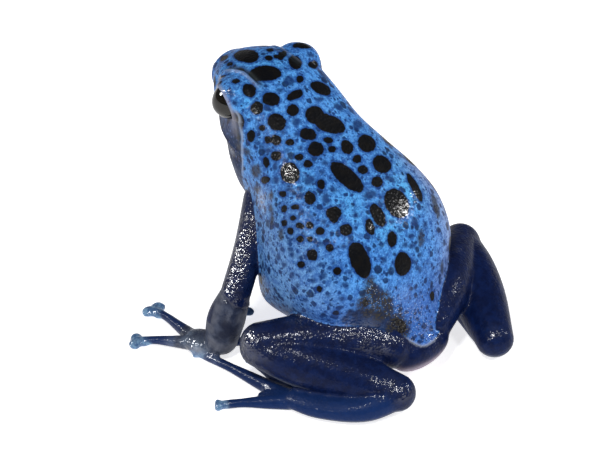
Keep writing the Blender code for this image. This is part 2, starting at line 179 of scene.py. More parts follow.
def torso(name, stations, count=110, around=96):
    """The body and head: rings of unlike sections along the bent spine, with round ends."""
    path = along(np.array([(0, *row) for row in stations]), count)
    angles = np.linspace(0, 2 * math.pi, around, endpoint=False)
    c, s = np.cos(angles), np.sin(angles)

    def ring(row, scale=1.0, ahead=0.0):
        _, y, z, pitch, w, u, d, nu, nd = row
        p = math.radians(pitch)
        normal = np.array([0, math.sin(p), math.cos(p)])
        tangent = np.array([0, -math.cos(p), math.sin(p)])
        n = np.where(s > 0, nu, nd)
        x = scale * w * np.sign(c) * np.abs(c) ** (2 / n)
        h = scale * np.where(s > 0, u, d) * np.sign(s) * np.abs(s) ** (2 / n)
        middle = np.array([0, y, z]) + ahead * tangent + (1 - scale) * 0.5 * (u - d) * normal
        return middle + np.outer(x, (1, 0, 0)) + np.outer(h, normal)

    caps = np.radians((80, 64, 48, 32, 16))
    rings = [ring(path[0], math.cos(a), -1.3 * math.sin(a)) for a in caps]
    rings += [ring(row) for row in path]
    rings += [ring(path[-1], math.cos(a), 1.5 * math.sin(a)) for a in caps[::-1]]
    return skin_rings(name, rings)


def blob(name, centre, radii, turn=0.0, segments=40, rows=26):
    """An ellipsoid, turned about the vertical by `turn` degrees."""
    bm = bmesh.new()
    bmesh.ops.create_uvsphere(bm, u_segments=segments, v_segments=rows, radius=1)
    size = Matrix.Diagonal((*[r * MM for r in radii], 1))
    place = Matrix.Translation(Vector(centre) * MM) @ Matrix.Rotation(math.radians(turn), 4, "Z")
    bmesh.ops.transform(bm, matrix=place @ size, verts=bm.verts)
    mesh = bpy.data.meshes.new(name)
    bm.to_mesh(mesh)
    bm.free()
    return new_object(name, mesh)


def fuse(name, objects, voxel):
    """One closed surface round all the objects, which are removed."""
    bm = bmesh.new()
    for o in objects:
        bm.from_mesh(o.data)
        bpy.data.objects.remove(o)
    mesh = bpy.data.meshes.new(name)
    bm.to_mesh(mesh)
    bm.free()
    obj = new_object(name, mesh)
    remesh = obj.modifiers.new("Remesh", "REMESH")
    remesh.mode, remesh.voxel_size, remesh.adaptivity = "VOXEL", voxel * MM, 0
    graph = bpy.context.evaluated_depsgraph_get()
    made = bpy.data.meshes.new_from_object(obj.evaluated_get(graph))
    obj.modifiers.clear()
    obj.data = made
    return obj


def points_of(obj):
    co = np.empty(len(obj.data.vertices) * 3, np.float32)
    obj.data.vertices.foreach_get("co", co)
    return co.reshape(-1, 3).astype(float) / MM


def normals_of(obj):
    n = np.empty(len(obj.data.vertices) * 3, np.float32)
    obj.data.vertices.foreach_get("normal", n)
    return n.reshape(-1, 3).astype(float)


def put_points(obj, points):
    obj.data.vertices.foreach_set("co", (points * MM).astype(np.float32).ravel())
    obj.data.update()


def edges_of(obj):
    edges = np.empty(len(obj.data.edges) * 2, np.int32)
    obj.data.edges.foreach_get("vertices", edges)
    return edges.reshape(-1, 2)


def spread(values, edges, rounds, weight=0.5):
    """Evens out values over the surface by averaging each with its neighbours."""
    values = values if values.ndim == 2 else values[:, None]
    count = np.bincount(edges.ravel(), minlength=len(values))[:, None]
    for _ in range(rounds):
        total = np.stack(
            [
                np.bincount(edges[:, 0], values[edges[:, 1], k], len(values))
                + np.bincount(edges[:, 1], values[edges[:, 0], k], len(values))
                for k in range(values.shape[1])
            ],
            1,
        )
        values = values + weight * (total / count - values)
    return values


def relax(obj, rounds, where=None):
    """Smooths the voxel steps: each point is pulled to its neighbours, then pushed back."""
    points, edges = points_of(obj), edges_of(obj)
    for _ in range(rounds):
        for factor in (0.5, -0.52):
            moved = spread(points, edges, 1, factor)
            points = moved if where is None else points + where[:, None] * (moved - points)
    points[:, 2] = np.maximum(points[:, 2], FLOOR)
    put_points(obj, points)


def smooth(low, high, x):
    t = np.clip((x - low) / (high - low), 0, 1)
    return t * t * (3 - 2 * t)


# ---------------------------------------------------------------- fleshy pieces
def digit(base, tip, radii, disc, lift):
    """A finger or toe from its base to the ground, with a knuckle swelling, and its two-lobed disc."""
    base, tip = np.array(base, float), np.array(tip, float)
    way = tip - base
    flat = np.array((way[0], way[1], 0)) / math.hypot(way[0], way[1])
    side = np.array((-flat[1], flat[0], 0))
    r0, r1, r2 = radii
    turn = math.degrees(math.atan2(way[1], way[0])) - 90
    made = [
        limb(
            "digit",
            (
                (*base, r0, 0.95 * r0),
                (*(base + 0.34 * way + (0, 0, 0.5 * lift)), r1, 0.95 * r1),
                (*(base + 0.66 * way + (0, 0, lift)), r2, r2),
                (*(base + 0.88 * way + (0, 0, 0.4 * lift)), 1.05 * r2, 0.95 * r2),
                (*tip, 0.30 + 0.25 * disc, 0.42),
            ),
            around=18,
        )
    ]
    pads = [blob("disc", (tip[0], tip[1], 0.40), (disc, 0.50 * disc, 0.40), turn)]
    for s in (1, -1):
        lobe = tip + 0.38 * disc * s * side + 0.12 * disc * flat
        pads.append(blob("lobe", (lobe[0], lobe[1], 0.46), (0.54 * disc, 0.44 * disc, 0.45), turn))
    neck = tip - 0.55 * disc * flat
    pads.append(blob("neck", (neck[0], neck[1], 0.46), (0.50 * disc, 0.62 * disc, 0.40), turn))
    return made, pads


def hand(side):
    """Palm and four fingers, spread on the ground round the wrist."""
    s = 1 if side == "L" else -1
    wrist = np.array(ARM[side]["wrist"])
    palm = np.array([wrist[0] + 1.0 * s, wrist[1] - 2.3, 1.1])
    made, pads = [blob("palm", palm, (1.9, 2.2, 1.1))], []
    for out, back, size in ((1.1, 0.9, 0.62), (-0.9, 0.2, 0.55), (0.3, -1.3, 0.5)):
        made.append(blob("tubercle", palm + (out * s, back, 0.55), (size, size, 0.75 * size)))
    for tip, disc in zip(FINGER_TIPS[side], FINGER_DISCS):
        tip = np.array([*tip, 0.5])
        way = (tip - palm) / np.linalg.norm(tip - palm)
        base = palm + 0.9 * way + (0, 0, -0.15)
        one, two = digit(base, tip, (0.95, 0.70, 0.49), disc, 0.2)
        made, pads = made + one, pads + two
    return made, pads


def foot(side):
    """Tarsus folded under the shank, sole and five toes."""
    leg = LEG[side]
    s = 1 if side == "L" else -1
    ankle, ball = np.array(leg["ankle"]), np.array(leg["ball"])
    bow = np.array((1.1, 0.9, -0.3) if side == "L" else (0.2, 0.3, -0.3))
    sole = ball + (0.75 * s, -2.8, -0.15)
    made, pads = [
        limb(
            "tarsus",
            (
                (*ankle, 1.9, 1.9),
                (*(0.6 * ankle + 0.4 * ball + bow), 1.75, 1.5),
                (*ball, 1.85, 1.3),
                (*sole, 1.75, 1.1),
            ),
            around=26,
        )
    ], []
    web = sole + (2.3 * s, -3.1, -0.45)
    made.append(limb("web", ((*sole, 1.5, 0.95), (*web, 0.95, 0.60)), around=20))
    for n, (tip, disc) in enumerate(zip(TOE_TIPS[side], TOE_DISCS)):
        radii = (1.05, 0.80, 0.52) if n > 2 else (0.85, 0.66, 0.50)
        base = sole + ((n - 2.2) * 0.42 * s, -0.6 + 0.25 * abs(n - 3), -0.25)
        one, two = digit(base, (*tip, 0.45), radii, disc, 0.12)
        made, pads = made + one, pads + two
    return made, pads


def upper_arm(side):
    shoulder, elbow = np.array(ARM[side]["shoulder"]), np.array(ARM[side]["elbow"])
    rows = ((*shoulder, 2.35, 2.25), (*(0.5 * (shoulder + elbow)), 1.75, 1.75), (*elbow, 1.7, 1.7))
    return [limb("upper_arm", rows, (0, -1, 0))]


def forearm(side):
    elbow, wrist = np.array(ARM[side]["elbow"]), np.array(ARM[side]["wrist"])
    belly = 0.5 * (elbow + wrist) + (0.3 if side == "L" else -0.3, 0, 0)
    rows = ((*elbow, 1.7, 1.7), (*belly, 2.25, 2.1), (*wrist, 1.95, 1.85))
    return [limb("forearm", rows, (0, -1, 0))]


def thigh(side):
    hip, knee = np.array(LEG[side]["hip"]), np.array(LEG[side]["knee"])
    rows = (
        (*hip, 2.4, 2.3),
        (*(0.72 * hip + 0.28 * knee + (0, 0, 0.8)), 3.2, 3.2),
        (*(0.4 * hip + 0.6 * knee + (0, 0, 0.5)), 3.2, 3.4),
        (*knee, 2.4, 2.6),
    )
    return [limb("thigh", rows, around=36)]


def shank(side):
    knee, ankle = np.array(LEG[side]["knee"]), np.array(LEG[side]["ankle"])
    rows = (
        (*(knee + (0, 0, -0.3)), 2.4, 2.45),
        (*(0.75 * knee + 0.25 * ankle + (0, 0, -0.2)), 3.0, 3.0),
        (*(0.42 * knee + 0.58 * ankle), 3.0, 2.95),
        (*ankle, 2.2, 2.1),
    )
    return [limb("shank", rows, around=36)]


def lids():
    x, y, z = EYE
    return [blob("lid", (s * (x - 0.35), y, z + 0.1), LID_RADII) for s in (1, -1)]


# ---------------------------------------------------------------- camera: the photograph's view
VIEW_AZIMUTH, VIEW_HEIGHT, DISTANCE = 135.0, 35.0, 400.0
FOCAL_PX = 3600.0                       # nine pixels a millimetre at the subject
WIDE, TALL = 612, 459
ANCHOR, ANCHOR_PX = np.array((0.0, 0.0, 4.5)), (430.0, 347.0)
a, e = math.radians(VIEW_AZIMUTH), math.radians(VIEW_HEIGHT)
BACK = np.array((math.sin(a) * math.cos(e), -math.cos(a) * math.cos(e), math.sin(e)))
RIGHT = np.cross((0, 0, 1), BACK)
RIGHT /= np.linalg.norm(RIGHT)
UP = np.cross(BACK, RIGHT)
STATION = (
    ANCHOR
    + BACK * DISTANCE
    - RIGHT * (ANCHOR_PX[0] - WIDE / 2) / FOCAL_PX * DISTANCE
    + UP * (ANCHOR_PX[1] - TALL / 2) / FOCAL_PX * DISTANCE
)


def sight(u, v):
    """Direction from the camera through a pixel."""
    d = -BACK + RIGHT * (u - WIDE / 2) / FOCAL_PX + UP * (TALL / 2 - v) / FOCAL_PX
    return d / np.linalg.norm(d)


# ---------------------------------------------------------------- the skin's surface
groups = {"trunk": [torso("torso", SPINE), blob("vent", VENT[0], VENT[1])] + lids()}
for name in ("upper_arm", "forearm", "hand", "thigh", "shank", "foot", "pads"):
    groups[name] = []
for side in "LR":
    groups["upper_arm"] += upper_arm(side)
    groups["forearm"] += forearm(side)
    groups["thigh"] += thigh(side)
    groups["shank"] += shank(side)
    for name, make in (("hand", hand), ("foot", foot)):
        digits, pads = make(side)
        groups[name] += digits
        groups["pads"] += pads


def tree_of(objects):
    """A search tree over several objects' faces, in millimetres."""
    points, faces, start = [], [], 0
    for o in objects:
        co = points_of(o)
        points += [tuple(p) for p in co]
        faces += [tuple(start + i for i in f.vertices) for f in o.data.polygons]
        start += len(co)
    return BVHTree.FromPolygons(points, faces)


trees = {name: tree_of(objects) for name, objects in groups.items()}
skin = fuse("frog_skin", [o for objects in groups.values() for o in objects], SKIN_VOXEL)
relax(skin, 8)


def refine(obj, wanted):
    """Halves the edges whose points are both wanted."""
    bm = bmesh.new()
    bm.from_mesh(obj.data)
    bm.verts.ensure_lookup_table()
    edges = [e for e in bm.edges if wanted[e.verts[0].index] and wanted[e.verts[1].index]]
    bmesh.ops.subdivide_edges(bm, edges=edges, cuts=1, use_grid_fill=True)
    bm.to_mesh(obj.data)
    bm.free()
    obj.data.update()


def near(points, centre):
    return np.linalg.norm(points - np.array(centre), axis=1)


def by_face(points):
    """The parts of the head that carry fine relief: round the eyes, the snout and along the jaw."""
    folded = np.abs(points * (1, 0, 0)) + points * (0, 1, 1)
    wanted = near(folded, EYE) < 3.7
    snout = (points[:, 1] < -26.5) & (np.abs(points[:, 2] - 25.3) < 3.4)
    jaw = (points[:, 1] < -22.0) & (np.abs(points[:, 2] - mouth_height(points[:, 1])) < 0.7)
    return wanted | snout | jaw


def mouth_height(y):
    """Level of the mouth line, from under the snout back to below the eardrum."""
    return 25.2 - 0.27 * (y + 32.6) + 0.35 * np.sin((y + 32.6) / 10.5 * math.pi) * -1


refine(skin, by_face(points_of(skin)))
points = points_of(skin)
relax(skin, 3, smooth(-20.0, -21.5, points[:, 1]))
points, normals, edges = points_of(skin), normals_of(skin), edges_of(skin)
surface = BVHTree.FromPolygons([tuple(p) for p in points], [tuple(f.vertices) for f in skin.data.polygons])


def seen_at(u, v):
    """The point of the skin under a pixel of the photograph's view, and its outward normal."""
    where, normal, _, _ = surface.ray_cast(Vector(STATION), Vector(sight(u, v)))
    if where is None:
        return None, None
    return np.array(where), np.array(normal)


def on_skin(x, y, z):
    where, normal, _, _ = surface.find_nearest(Vector((x, y, z)))
    return np.array(where), np.array(normal)


def line_distance(points, line, reach=2.0):
    """Distance to a polyline, and how far along it (0 to 1) the nearest point is."""
    line = np.array(line, float)
    best, share = np.full(len(points), 99.0), np.zeros(len(points))
    close = np.all((points > line.min(0) - reach) & (points < line.max(0) + reach), axis=1)
    p = points[close]
    b, t_best = np.full(len(p), 99.0), np.zeros(len(p))
    for i, (one, two) in enumerate(zip(line, line[1:])):
        way = two - one
        t = np.clip(((p - one) @ way) / (way @ way), 0, 1)
        d = np.linalg.norm(p - one - t[:, None] * way, axis=1)
        better = d < b
        b[better] = d[better]
        t_best[better] = (i + t[better]) / (len(line) - 1)
    best[close], share[close] = b, t_best
    return best, share


def bell(d, width):
    return np.exp(-((d / width) ** 2))


def mirrored(line):
    return np.array(line) * (-1, 1, 1)


def traced(pixels):
    """A line on the skin through pixels of the view, read from a smooth curve."""
    found = [seen_at(u, v)[0] for u, v in pixels]
    found = np.array([p for p in found if p is not None])
    return along(found, 4 * len(found))


brow = traced(((222, 72), (228, 70.5), (235, 70.5), (243, 73), (250, 79), (257, 86), (263, 91)))
elbow_fold = traced(((225.5, 298), (229, 304), (234, 308), (241, 309.5), (248, 308)))
side_fold = traced(((233.5, 108), (238, 114), (241, 120), (242.5, 131), (243, 147), (243, 162), (243.5, 180)))
lift = np.zeros(len(points))
painted_ridge_highlight, painted_groove_shade = np.zeros(len(points)), np.zeros(len(points))
for flip, firm in ((1, 1.0), (-1, 0.45)):
    own = points * (flip, 1, 1)
    d, t = line_distance(own, brow)
    ends = firm * smooth(0, 0.12, t) * smooth(1, 0.75, t)
    lift += ends * (0.17 * bell(d, 0.22))
    d2, t2 = line_distance(own, brow + (-0.42, 0.0, 0.12))
    lift -= 0.16 * firm * bell(d2, 0.20) * smooth(0, 0.12, t2) * smooth(1, 0.8, t2)
    # Painted highlight along the brow's crest.
    painted_ridge_highlight = np.maximum(painted_ridge_highlight, 0.5 * ends * bell(d, 0.18))
    # Painted shade in the groove beside the brow.
    painted_groove_shade = np.maximum(painted_groove_shade, firm * bell(d2, 0.32) * smooth(0, 0.15, t2) * smooth(1, 0.8, t2))
    d, t = line_distance(own, side_fold)
    ends = smooth(0, 0.08, t) * smooth(1.0, 0.8, t)
    lift += 0.16 * ends * bell(d, 0.26)
    # Painted highlight along the side fold's crest.
    painted_ridge_highlight = np.maximum(painted_ridge_highlight, ends * bell(d, 0.17))

for flip in (1, -1):
    own = points * (flip, 1, 1)
    d, t = line_distance(own, elbow_fold)
    lift -= 0.20 * bell(d, 0.17)
    d, t = line_distance(own, elbow_fold + (0, 0, 0.42))
    lift += 0.13 * bell(d, 0.34)

# Mouth: a groove with soft lips, the lower jaw set in a little.
x, y, z = points.T
fade = smooth(-21.8, -23.2, y)
gap = z - mouth_height(y)
lift += fade * (-0.20 * bell(gap, 0.11) + 0.07 * bell(gap - 0.34, 0.22) + 0.03 * bell(gap + 0.32, 0.2))
lift -= fade * 0.16 * smooth(0, -0.25, gap) * smooth(-2.6, -1.0, gap)
# Painted shade in the mouth's groove.
painted_mouth_shade = fade * bell(gap, 0.09)

for s in (1, -1):
    nostril, _ = on_skin(s * 1.75, -32.6, 27.7)
    d = near(points, nostril)
    lift += -0.34 * bell(d, 0.20) + 0.07 * bell(d - 0.40, 0.16)
    # Painted shade in the nostril.
    painted_mouth_shade = np.maximum(painted_mouth_shade, bell(d, 0.17))
    drum, _ = on_skin(s * 7.4, -22.4, 25.2)
    d = near(points, drum)
    lift += 0.07 * bell(d - 0.85, 0.16) - 0.05 * smooth(0.85, 0.6, d)
points = points + lift[:, None] * normals

# Eye openings: inside, the skin dips behind the eyeball; round it, a soft rim of lid.
look = np.array(LOOK) / np.linalg.norm(LOOK)
lid_rim = np.zeros(len(points))
for s in (1, -1):
    centre, gaze = np.array(EYE) * (s, 1, 1), look * (s, 1, 1)
    d = points - centre
    r = np.linalg.norm(d, axis=1)
    n = d / r[:, None]
    cosine = n @ gaze
    across = np.cross((0, 0, 1), gaze)
    across /= np.linalg.norm(across)
    rise = np.cross(gaze, across) * 1.0
    rearward = across if across[1] > 0 else -across
    p, q = n @ rearward, n @ rise
    size = np.hypot(p, q) + 1e-9
    open_to = np.radians(64 + 6 * p / size + 2 * q / size)
    beyond = (np.arccos(np.clip(cosine, -1, 1)) - open_to) * EYE_R
    close = (r < 4.2) & (beyond < 1.4)
    rim = EYE_R + 0.20 + 0.05 * np.abs(q / size)
    well = EYE_R - 0.40
    wanted = np.where(
        beyond < 0.22,
        well + (rim - well) * smooth(-0.12, 0.22, beyond),
        rim + (r - rim) * smooth(0.22, 1.15, beyond),
    )
    moved = centre + n * wanted[:, None]
    points[close] = moved[close]
    lid_rim = np.maximum(lid_rim, np.where(r < 4.2, bell(beyond - 0.22, 0.26), 0))
points[:, 2] = np.maximum(points[:, 2], FLOOR)
put_points(skin, points)

# ---------------------------------------------------------------- where each kind of skin lies
points, normals = points_of(skin), normals_of(skin)
count = len(points)
vectors = [Vector(p) for p in points]
apart = {
    name: np.array([tree.find_nearest(p)[3] for p in vectors]) for name, tree in trees.items()
}
nearness = {name: np.exp(-((d / 0.45) ** 1.0)) for name, d in apart.items()}
total = sum(nearness.values())
share = {name: n / total for name, n in nearness.items()}
trunk = smooth(0.30, 0.70, share["trunk"])
leg = smooth(0.25, 0.75, share["thigh"] + share["shank"] + share["foot"])
arm = smooth(0.25, 0.75, share["upper_arm"] + share["forearm"] + share["hand"])
near_palm = smooth(4.2, 2.2, np.minimum(
    near(points, (14.2, -22.0, 1.1)), near(points, (-14.2, -22.0, 1.1))
))
lower_arm = smooth(0.35, 0.75, share["forearm"] + share["hand"] * near_palm)
low_foot = smooth(0.3, 0.8, share["foot"] + share["hand"])
pad = smooth(0.50, 0.0, apart["pads"]) * smooth(0.15, 0.55, share["pads"] + share["hand"] + share["foot"])
x, y, z = points.T
nx, ny, nz = normals.T
facing = np.einsum("ij,ij->i", normals, (STATION - points) / near(points, STATION)[:, None])


def hidden_from_camera():
    """Points that face away from the camera or have the body in front of them."""
    hidden = facing < 0.10
    for i in np.nonzero(~hidden)[0]:
        start = vectors[i] + Vector(normals[i]) * 0.06
        way = (Vector(STATION) - start).normalized()
        if surface.ray_cast(start, way, 60)[0] is not None:
            hidden[i] = True
    return hidden


hidden = hidden_from_camera()

# ---------------------------------------------------------------- markings
# Spots seen in the photograph's view: column, row, width, height, tilt in degrees (down to the right
# is positive) and kind: 0 black, 1 soft navy, 2 brown-olive.
SPOTS = (
    # crown and snout
    (246, 55, 25, 14, 3, 0), (224, 58, 9, 5, -35, 0), (230, 64, 7, 4, -5, 0), (241, 69, 7, 3, 10, 0),
    (270, 50, 8, 4, 0, 0), (269, 58, 8, 6, 0, 0), (282, 55, 11, 8, -45, 0), (276, 56.5, 6, 4, 0, 0),
    (302, 45, 19, 6, 5, 0), (295, 62, 15, 13, 60, 0), (311, 55, 7, 5, 10, 1), (313, 65, 10, 8, 0, 0),
    (265, 73, 33, 16, -2, 0), (289, 81, 11, 9, 30, 1), (300, 79, 8, 8, 0, 0), (324, 75, 12, 4, 45, 1),
    (321, 88, 22, 12, 25, 0), (295, 95, 17, 9, -25, 0), (271, 99, 18, 14, 10, 0), (249, 90, 15, 13, 45, 0),
    (236, 81, 8, 5, -10, 0), (231, 93, 8, 6, 60, 1), (235, 103, 6, 5, 0, 1), (257, 108, 13, 13, 0, 0),
    (293, 110, 12, 12, 0, 0), (296, 122, 8, 8, 0, 1), (277, 122, 19, 17, 30, 0), (339, 107, 11, 6, 30, 1),
    (351, 110, 10, 3, 45, 1), (320, 99, 8, 4, 0, 1), (280, 90, 7, 4, 0, 1), (270, 110, 6, 3, 0, 1),
    # nape and shoulders
    (315, 115, 20, 18, 30, 0), (330, 124, 32, 18, 18, 0), (308, 134, 17, 12, 10, 0), (251, 136, 9, 12, 0, 0),
    (262, 128, 6, 7, 60, 0), (268, 140, 8, 8, 0, 0), (276, 140, 11, 10, 60, 0), (290, 142, 9, 7, 0, 0),
    (328, 140, 10, 6, 5, 0), (347, 147, 15, 12, 65, 0), (316, 149, 16, 15, 0, 0), (332, 149, 8, 7, 0, 0),
    (358, 125, 10, 9, 0, 1), (247, 152, 9, 7, 90, 2), (299, 157, 9, 7, 0, 0), (276, 156, 11, 10, 0, 0),
    (275, 166, 8, 5, 90, 1), (308, 164, 9, 8, 0, 0), (266, 162, 11, 7, 80, 0), (256, 171, 14, 11, 80, 2),
    (265, 180, 9, 8, 0, 0), (276, 180, 8, 6, 90, 1), (290, 173, 22, 19, 75, 0), (309, 180, 10, 10, 0, 1),
    (321, 184, 10, 8, 80, 0), (257, 189, 8, 7, 0, 2), (271, 196, 9, 6, 80, 2), (283, 194, 8, 6, 0, 0),
    (300, 189, 7, 5, 0, 1), (310, 198, 14, 11, 80, 0), (290, 190, 9, 5, 10, 1), (300, 196, 8, 5, -20, 1),
    # back
    (347, 177, 42, 17, 41, 0), (367, 143, 19, 17, 40, 0), (382, 164, 20, 17, 35, 0), (357, 159, 9, 9, 0, 0),
    (363, 170, 10, 9, 0, 0), (377, 182, 12, 11, 0, 0), (390, 179, 12, 5, 10, 1), (370, 195, 13, 8, -20, 1),
    (397, 203, 31, 23, 60, 0), (415, 187, 32, 8, 62, 0), (378, 215, 25, 12, 62, 0), (370, 227, 17, 9, 75, 0),
    (392, 239, 16, 10, 90, 0), (421, 238, 18, 7, 93, 2), (403, 264, 24, 17, 90, 0), (360, 260, 38, 19, 70, 0),
    (334, 213, 16, 13, 0, 0), (334, 219, 9, 8, 0, 0), (346, 230, 13, 12, 0, 0), (326, 199, 12, 7, 70, 1),
    (415, 222, 10, 6, 80, 1), (411, 236, 6, 5, 0, 1), (405, 245, 6, 5, 0, 1), (412, 246, 6, 6, 0, 1),
    (436, 206, 26, 7, 75, 2), (432, 296, 10, 5, 90, 0), (399, 326, 17, 13, 45, 0), (377, 292, 16, 13, 40, 1),
    (365, 303, 8, 6, 90, 0), (442, 268, 14, 4, 92, 2), (420, 270, 5, 4, 90, 1), (388, 307, 12, 9, 40, 1),
    # left flank
    (284, 209, 8, 6, 90, 0), (271, 209, 10, 5, 90, 2), (272, 219, 10, 5, 90, 2), (295, 207, 9, 5, -10, 0),
    (293, 218, 6, 6, 0, 0), (284, 223, 7, 6, 90, 0), (300, 226, 9, 6, 20, 0), (310, 225, 8, 7, 30, 0),
    (290, 231, 7, 7, 0, 0), (320, 231, 9, 8, 0, 0), (281, 234, 13, 6, 90, 2), (300, 239, 8, 7, 0, 0),
    (310, 239, 6, 6, 0, 0), (330, 248, 8, 8, 0, 0), (312, 255, 12, 11, 90, 0), (301, 265, 8, 7, 0, 0),
    (337, 271, 9, 8, 0, 0), (322, 265, 8, 4, 0, 1), (323, 276, 7, 6, 0, 1), (319, 289, 6, 6, 0, 0),
    (336, 313, 6, 5, 0, 0), (292, 275, 6, 5, 0, 1), (345, 285, 7, 5, 20, 1), (305, 300, 5, 4, 0, 1),
    (289, 241, 5, 5, 0, 1), (290, 249, 5, 5, 0, 1), (282, 249, 6, 4, 80, 1), (278, 257, 6, 5, 80, 1),
    (292, 255, 5, 5, 0, 1), (301, 257, 5, 4, 0, 1), (334, 263, 5, 4, 0, 1), (310, 216, 5, 4, 0, 1),
    (303, 211, 4, 4, 0, 1), (320, 243, 5, 5, 0, 1), (324, 222, 5, 4, 0, 1), (343, 246, 5, 4, 0, 1),
    (284, 265, 5, 5, 80, 1), (310, 270, 5, 4, 0, 1), (328, 295, 5, 4, 0, 1), (313, 281, 5, 4, 0, 1),
    (297, 285, 5, 4, 0, 1), (342, 299, 5, 4, 0, 1), (350, 272, 5, 4, 0, 1), (287, 150, 5, 4, 0, 1),
    (268, 150, 6, 5, 80, 1), (262, 147, 5, 5, 80, 1), (285, 160, 4, 4, 0, 1), (300, 148, 5, 4, 0, 1),
    (297, 134, 5, 5, 0, 1), (283, 132, 4, 4, 0, 1), (340, 133, 6, 4, 40, 1), (338, 163, 5, 4, 0, 1),
    (325, 163, 6, 5, 0, 1), (333, 190, 7, 5, 30, 1), (322, 172, 5, 4, 0, 1), (380, 204, 7, 5, 60, 1),
    (356, 215, 6, 5, 60, 1), (350, 243, 6, 5, 0, 1), (384, 260, 6, 5, 80, 1), (420, 255, 5, 5, 90, 1),
    (415, 262, 5, 4, 0, 1), (425, 225, 6, 5, 90, 1), (400, 230, 5, 5, 0, 1), (392, 222, 5, 4, 0, 1),
)
KINDS = 3
far = 9.0
edge_of = [np.full(count, far) for _ in range(KINDS)]     # distance outside a spot's rim, in mm
placed = []


def stain(where, normal, first, second, half_one, half_two, kind):
    """Marks an ellipse of skin round a point: its axes and half-sizes lie in the skin's own plane."""
    reach = 1.6 * max(half_one, half_two) + 1.6
    close = np.nonzero(near(points, where) < reach)[0]
    if not len(close):
        return
    d = points[close] - where
    out = d @ normal
    p, q = d @ first, d @ second
    length = np.hypot(p, q) + 1e-9
    bent = np.hypot(length, 0.9 * out) / length           # the way round a curved surface is longer
    p, q = p * bent, q * bent
    f = np.sqrt((p / half_one) ** 2 + (q / half_two) ** 2) + 1e-9
    slope = np.sqrt((p / half_one**2) ** 2 + (q / half_two**2) ** 2) / f + 1e-9
    rim = np.where(f > 0.05, (f - 1) / slope, -min(half_one, half_two))
    turned = normals[close] @ normal < 0.0
    rim[turned] = far
    edge_of[kind][close] = np.minimum(edge_of[kind][close], rim)
    placed.append((*where, max(half_one, half_two)))


def mark_seen(u, v, wide, tall, tilt, kind):
    """A spot that covers an ellipse of the view, laid on the skin under it."""
    where, _ = seen_at(u, v)
    if where is None:
        return
    close = near(points, where) < 0.9
    normal = normals[close].mean(0)
    normal /= np.linalg.norm(normal)
    scale = FOCAL_PX / np.linalg.norm(STATION - where)
    turn = math.radians(tilt)
    shape = np.array(((math.cos(turn), -math.sin(turn)), (math.sin(turn), math.cos(turn))))
    axes = shape @ np.diag(((wide / 2 / scale) ** -2, (tall / 2 / scale) ** -2)) @ shape.T
    first = RIGHT - (RIGHT @ normal) * normal
    first /= np.linalg.norm(first)
    second = np.cross(normal, first)
    jac = np.array(((first @ RIGHT, second @ RIGHT), (-(first @ UP), -(second @ UP))))
    laid = jac.T @ axes @ jac
    values, turned = np.linalg.eigh(laid)
    halves = 1 / np.sqrt(np.maximum(values, 1e-9))
    halves = np.minimum(halves, 1.9 * halves.min() + 0.5 * max(wide, tall) / 2 / scale)
    one = turned[0, 0] * first + turned[1, 0] * second
    two = turned[0, 1] * first + turned[1, 1] * second
    stain(where, normal, one, two, halves[0], halves[1], kind)


for spot in SPOTS:
    mark_seen(*spot)

# The side away from the camera carries spots of the same sizes, none closer than the photo's.
dice = np.random.default_rng(20)
open_skin = np.nonzero(hidden & (trunk > 0.85) & (lid_rim < 0.2))[0]
dice.shuffle(open_skin)
belly = smooth(0.2, -0.5, ny * -0.2 + nz + 0.25) * smooth(-27, -22, y)
for rank, size_range in enumerate(((1.15, 1.75), (0.7, 1.1), (0.42, 0.68), (0.26, 0.42))):
    tried = open_skin[rank * 1500 : rank * 1500 + (900, 2200, 3000, 3600)[rank]] if rank < 2 else open_skin
    limit = (13, 40, 90, 150)[rank]
    made = 0
    for i in tried:
        if made >= limit:
            break
        half = dice.uniform(*size_range)
        if rank < 2 and (nz[i] < -0.15 or abs(mouth_height(y[i]) - z[i]) < 1.2 and y[i] < -22):
            continue
        room = 0.32 + 0.25 * half
        if any((points[i][0] - q[0]) ** 2 + (points[i][1] - q[1]) ** 2 + (points[i][2] - q[2]) ** 2
               < (half + q[3] + room) ** 2 for q in placed):
            continue
        normal = normals[i]
        first = np.cross(normal, (0.3, 1, 0.2))
        first /= np.linalg.norm(first)
        turn = dice.uniform(0, math.pi)
        one = math.cos(turn) * first + math.sin(turn) * np.cross(normal, first)
        stain(points[i], normal, one, np.cross(normal, one), half, half * dice.uniform(0.6, 1.0),
              0 if rank < 3 or dice.random() < 0.7 else 1)
        made += 1

# ---------------------------------------------------------------- colour masks
flank = smooth(0.25, 0.85, np.abs(nx) + 0.25 * np.maximum(0, -nz)) * smooth(24.0, 17.0, z) * trunk
rump = smooth(15.0, 8.0, z) * smooth(-12, -6, y) * trunk
under = smooth(-0.15, -0.75, nz)
throat = smooth(-18.0, -22.0, y) * smooth(0.0, -1.2, z - mouth_height(y)) * trunk
fold_side = side_fold[side_fold[:, 2].argsort()]
line_y = np.interp(z, fold_side[:, 2], fold_side[:, 1])
face_side = smooth(0.0, -0.5, y - line_y) * smooth(26.9, 25.6, z) * smooth(2.0, 4.2, np.abs(x)) * trunk
# Painted reflection: a pale grey-lilac rim along the right flank, where the skin mirrors the white surroundings.
painted_rim_reflection = smooth(-0.1, -0.6, nx) * smooth(24, 20, z) * smooth(5, 9, z) * smooth(-16, -9, y) * trunk
# Painted reflection: a pinkish-lilac tint of the floor on the inner thighs.
painted_inner_thigh_reflection = smooth(4.2, 2.2, z) * smooth(-5, -2.5, y) * smooth(7.5, 5.0, np.abs(x)) * smooth(0.1, -0.5, nz)


def patch(places):
    """Soft round patches laid on the skin: column and row in the view, radius in mm, strength."""
    made = np.zeros(count)
    for u, v, radius, strength in places:
        where, _ = seen_at(u, v)
        if where is not None:
            made = np.maximum(made, strength * bell(near(points, where), radius))
    return made


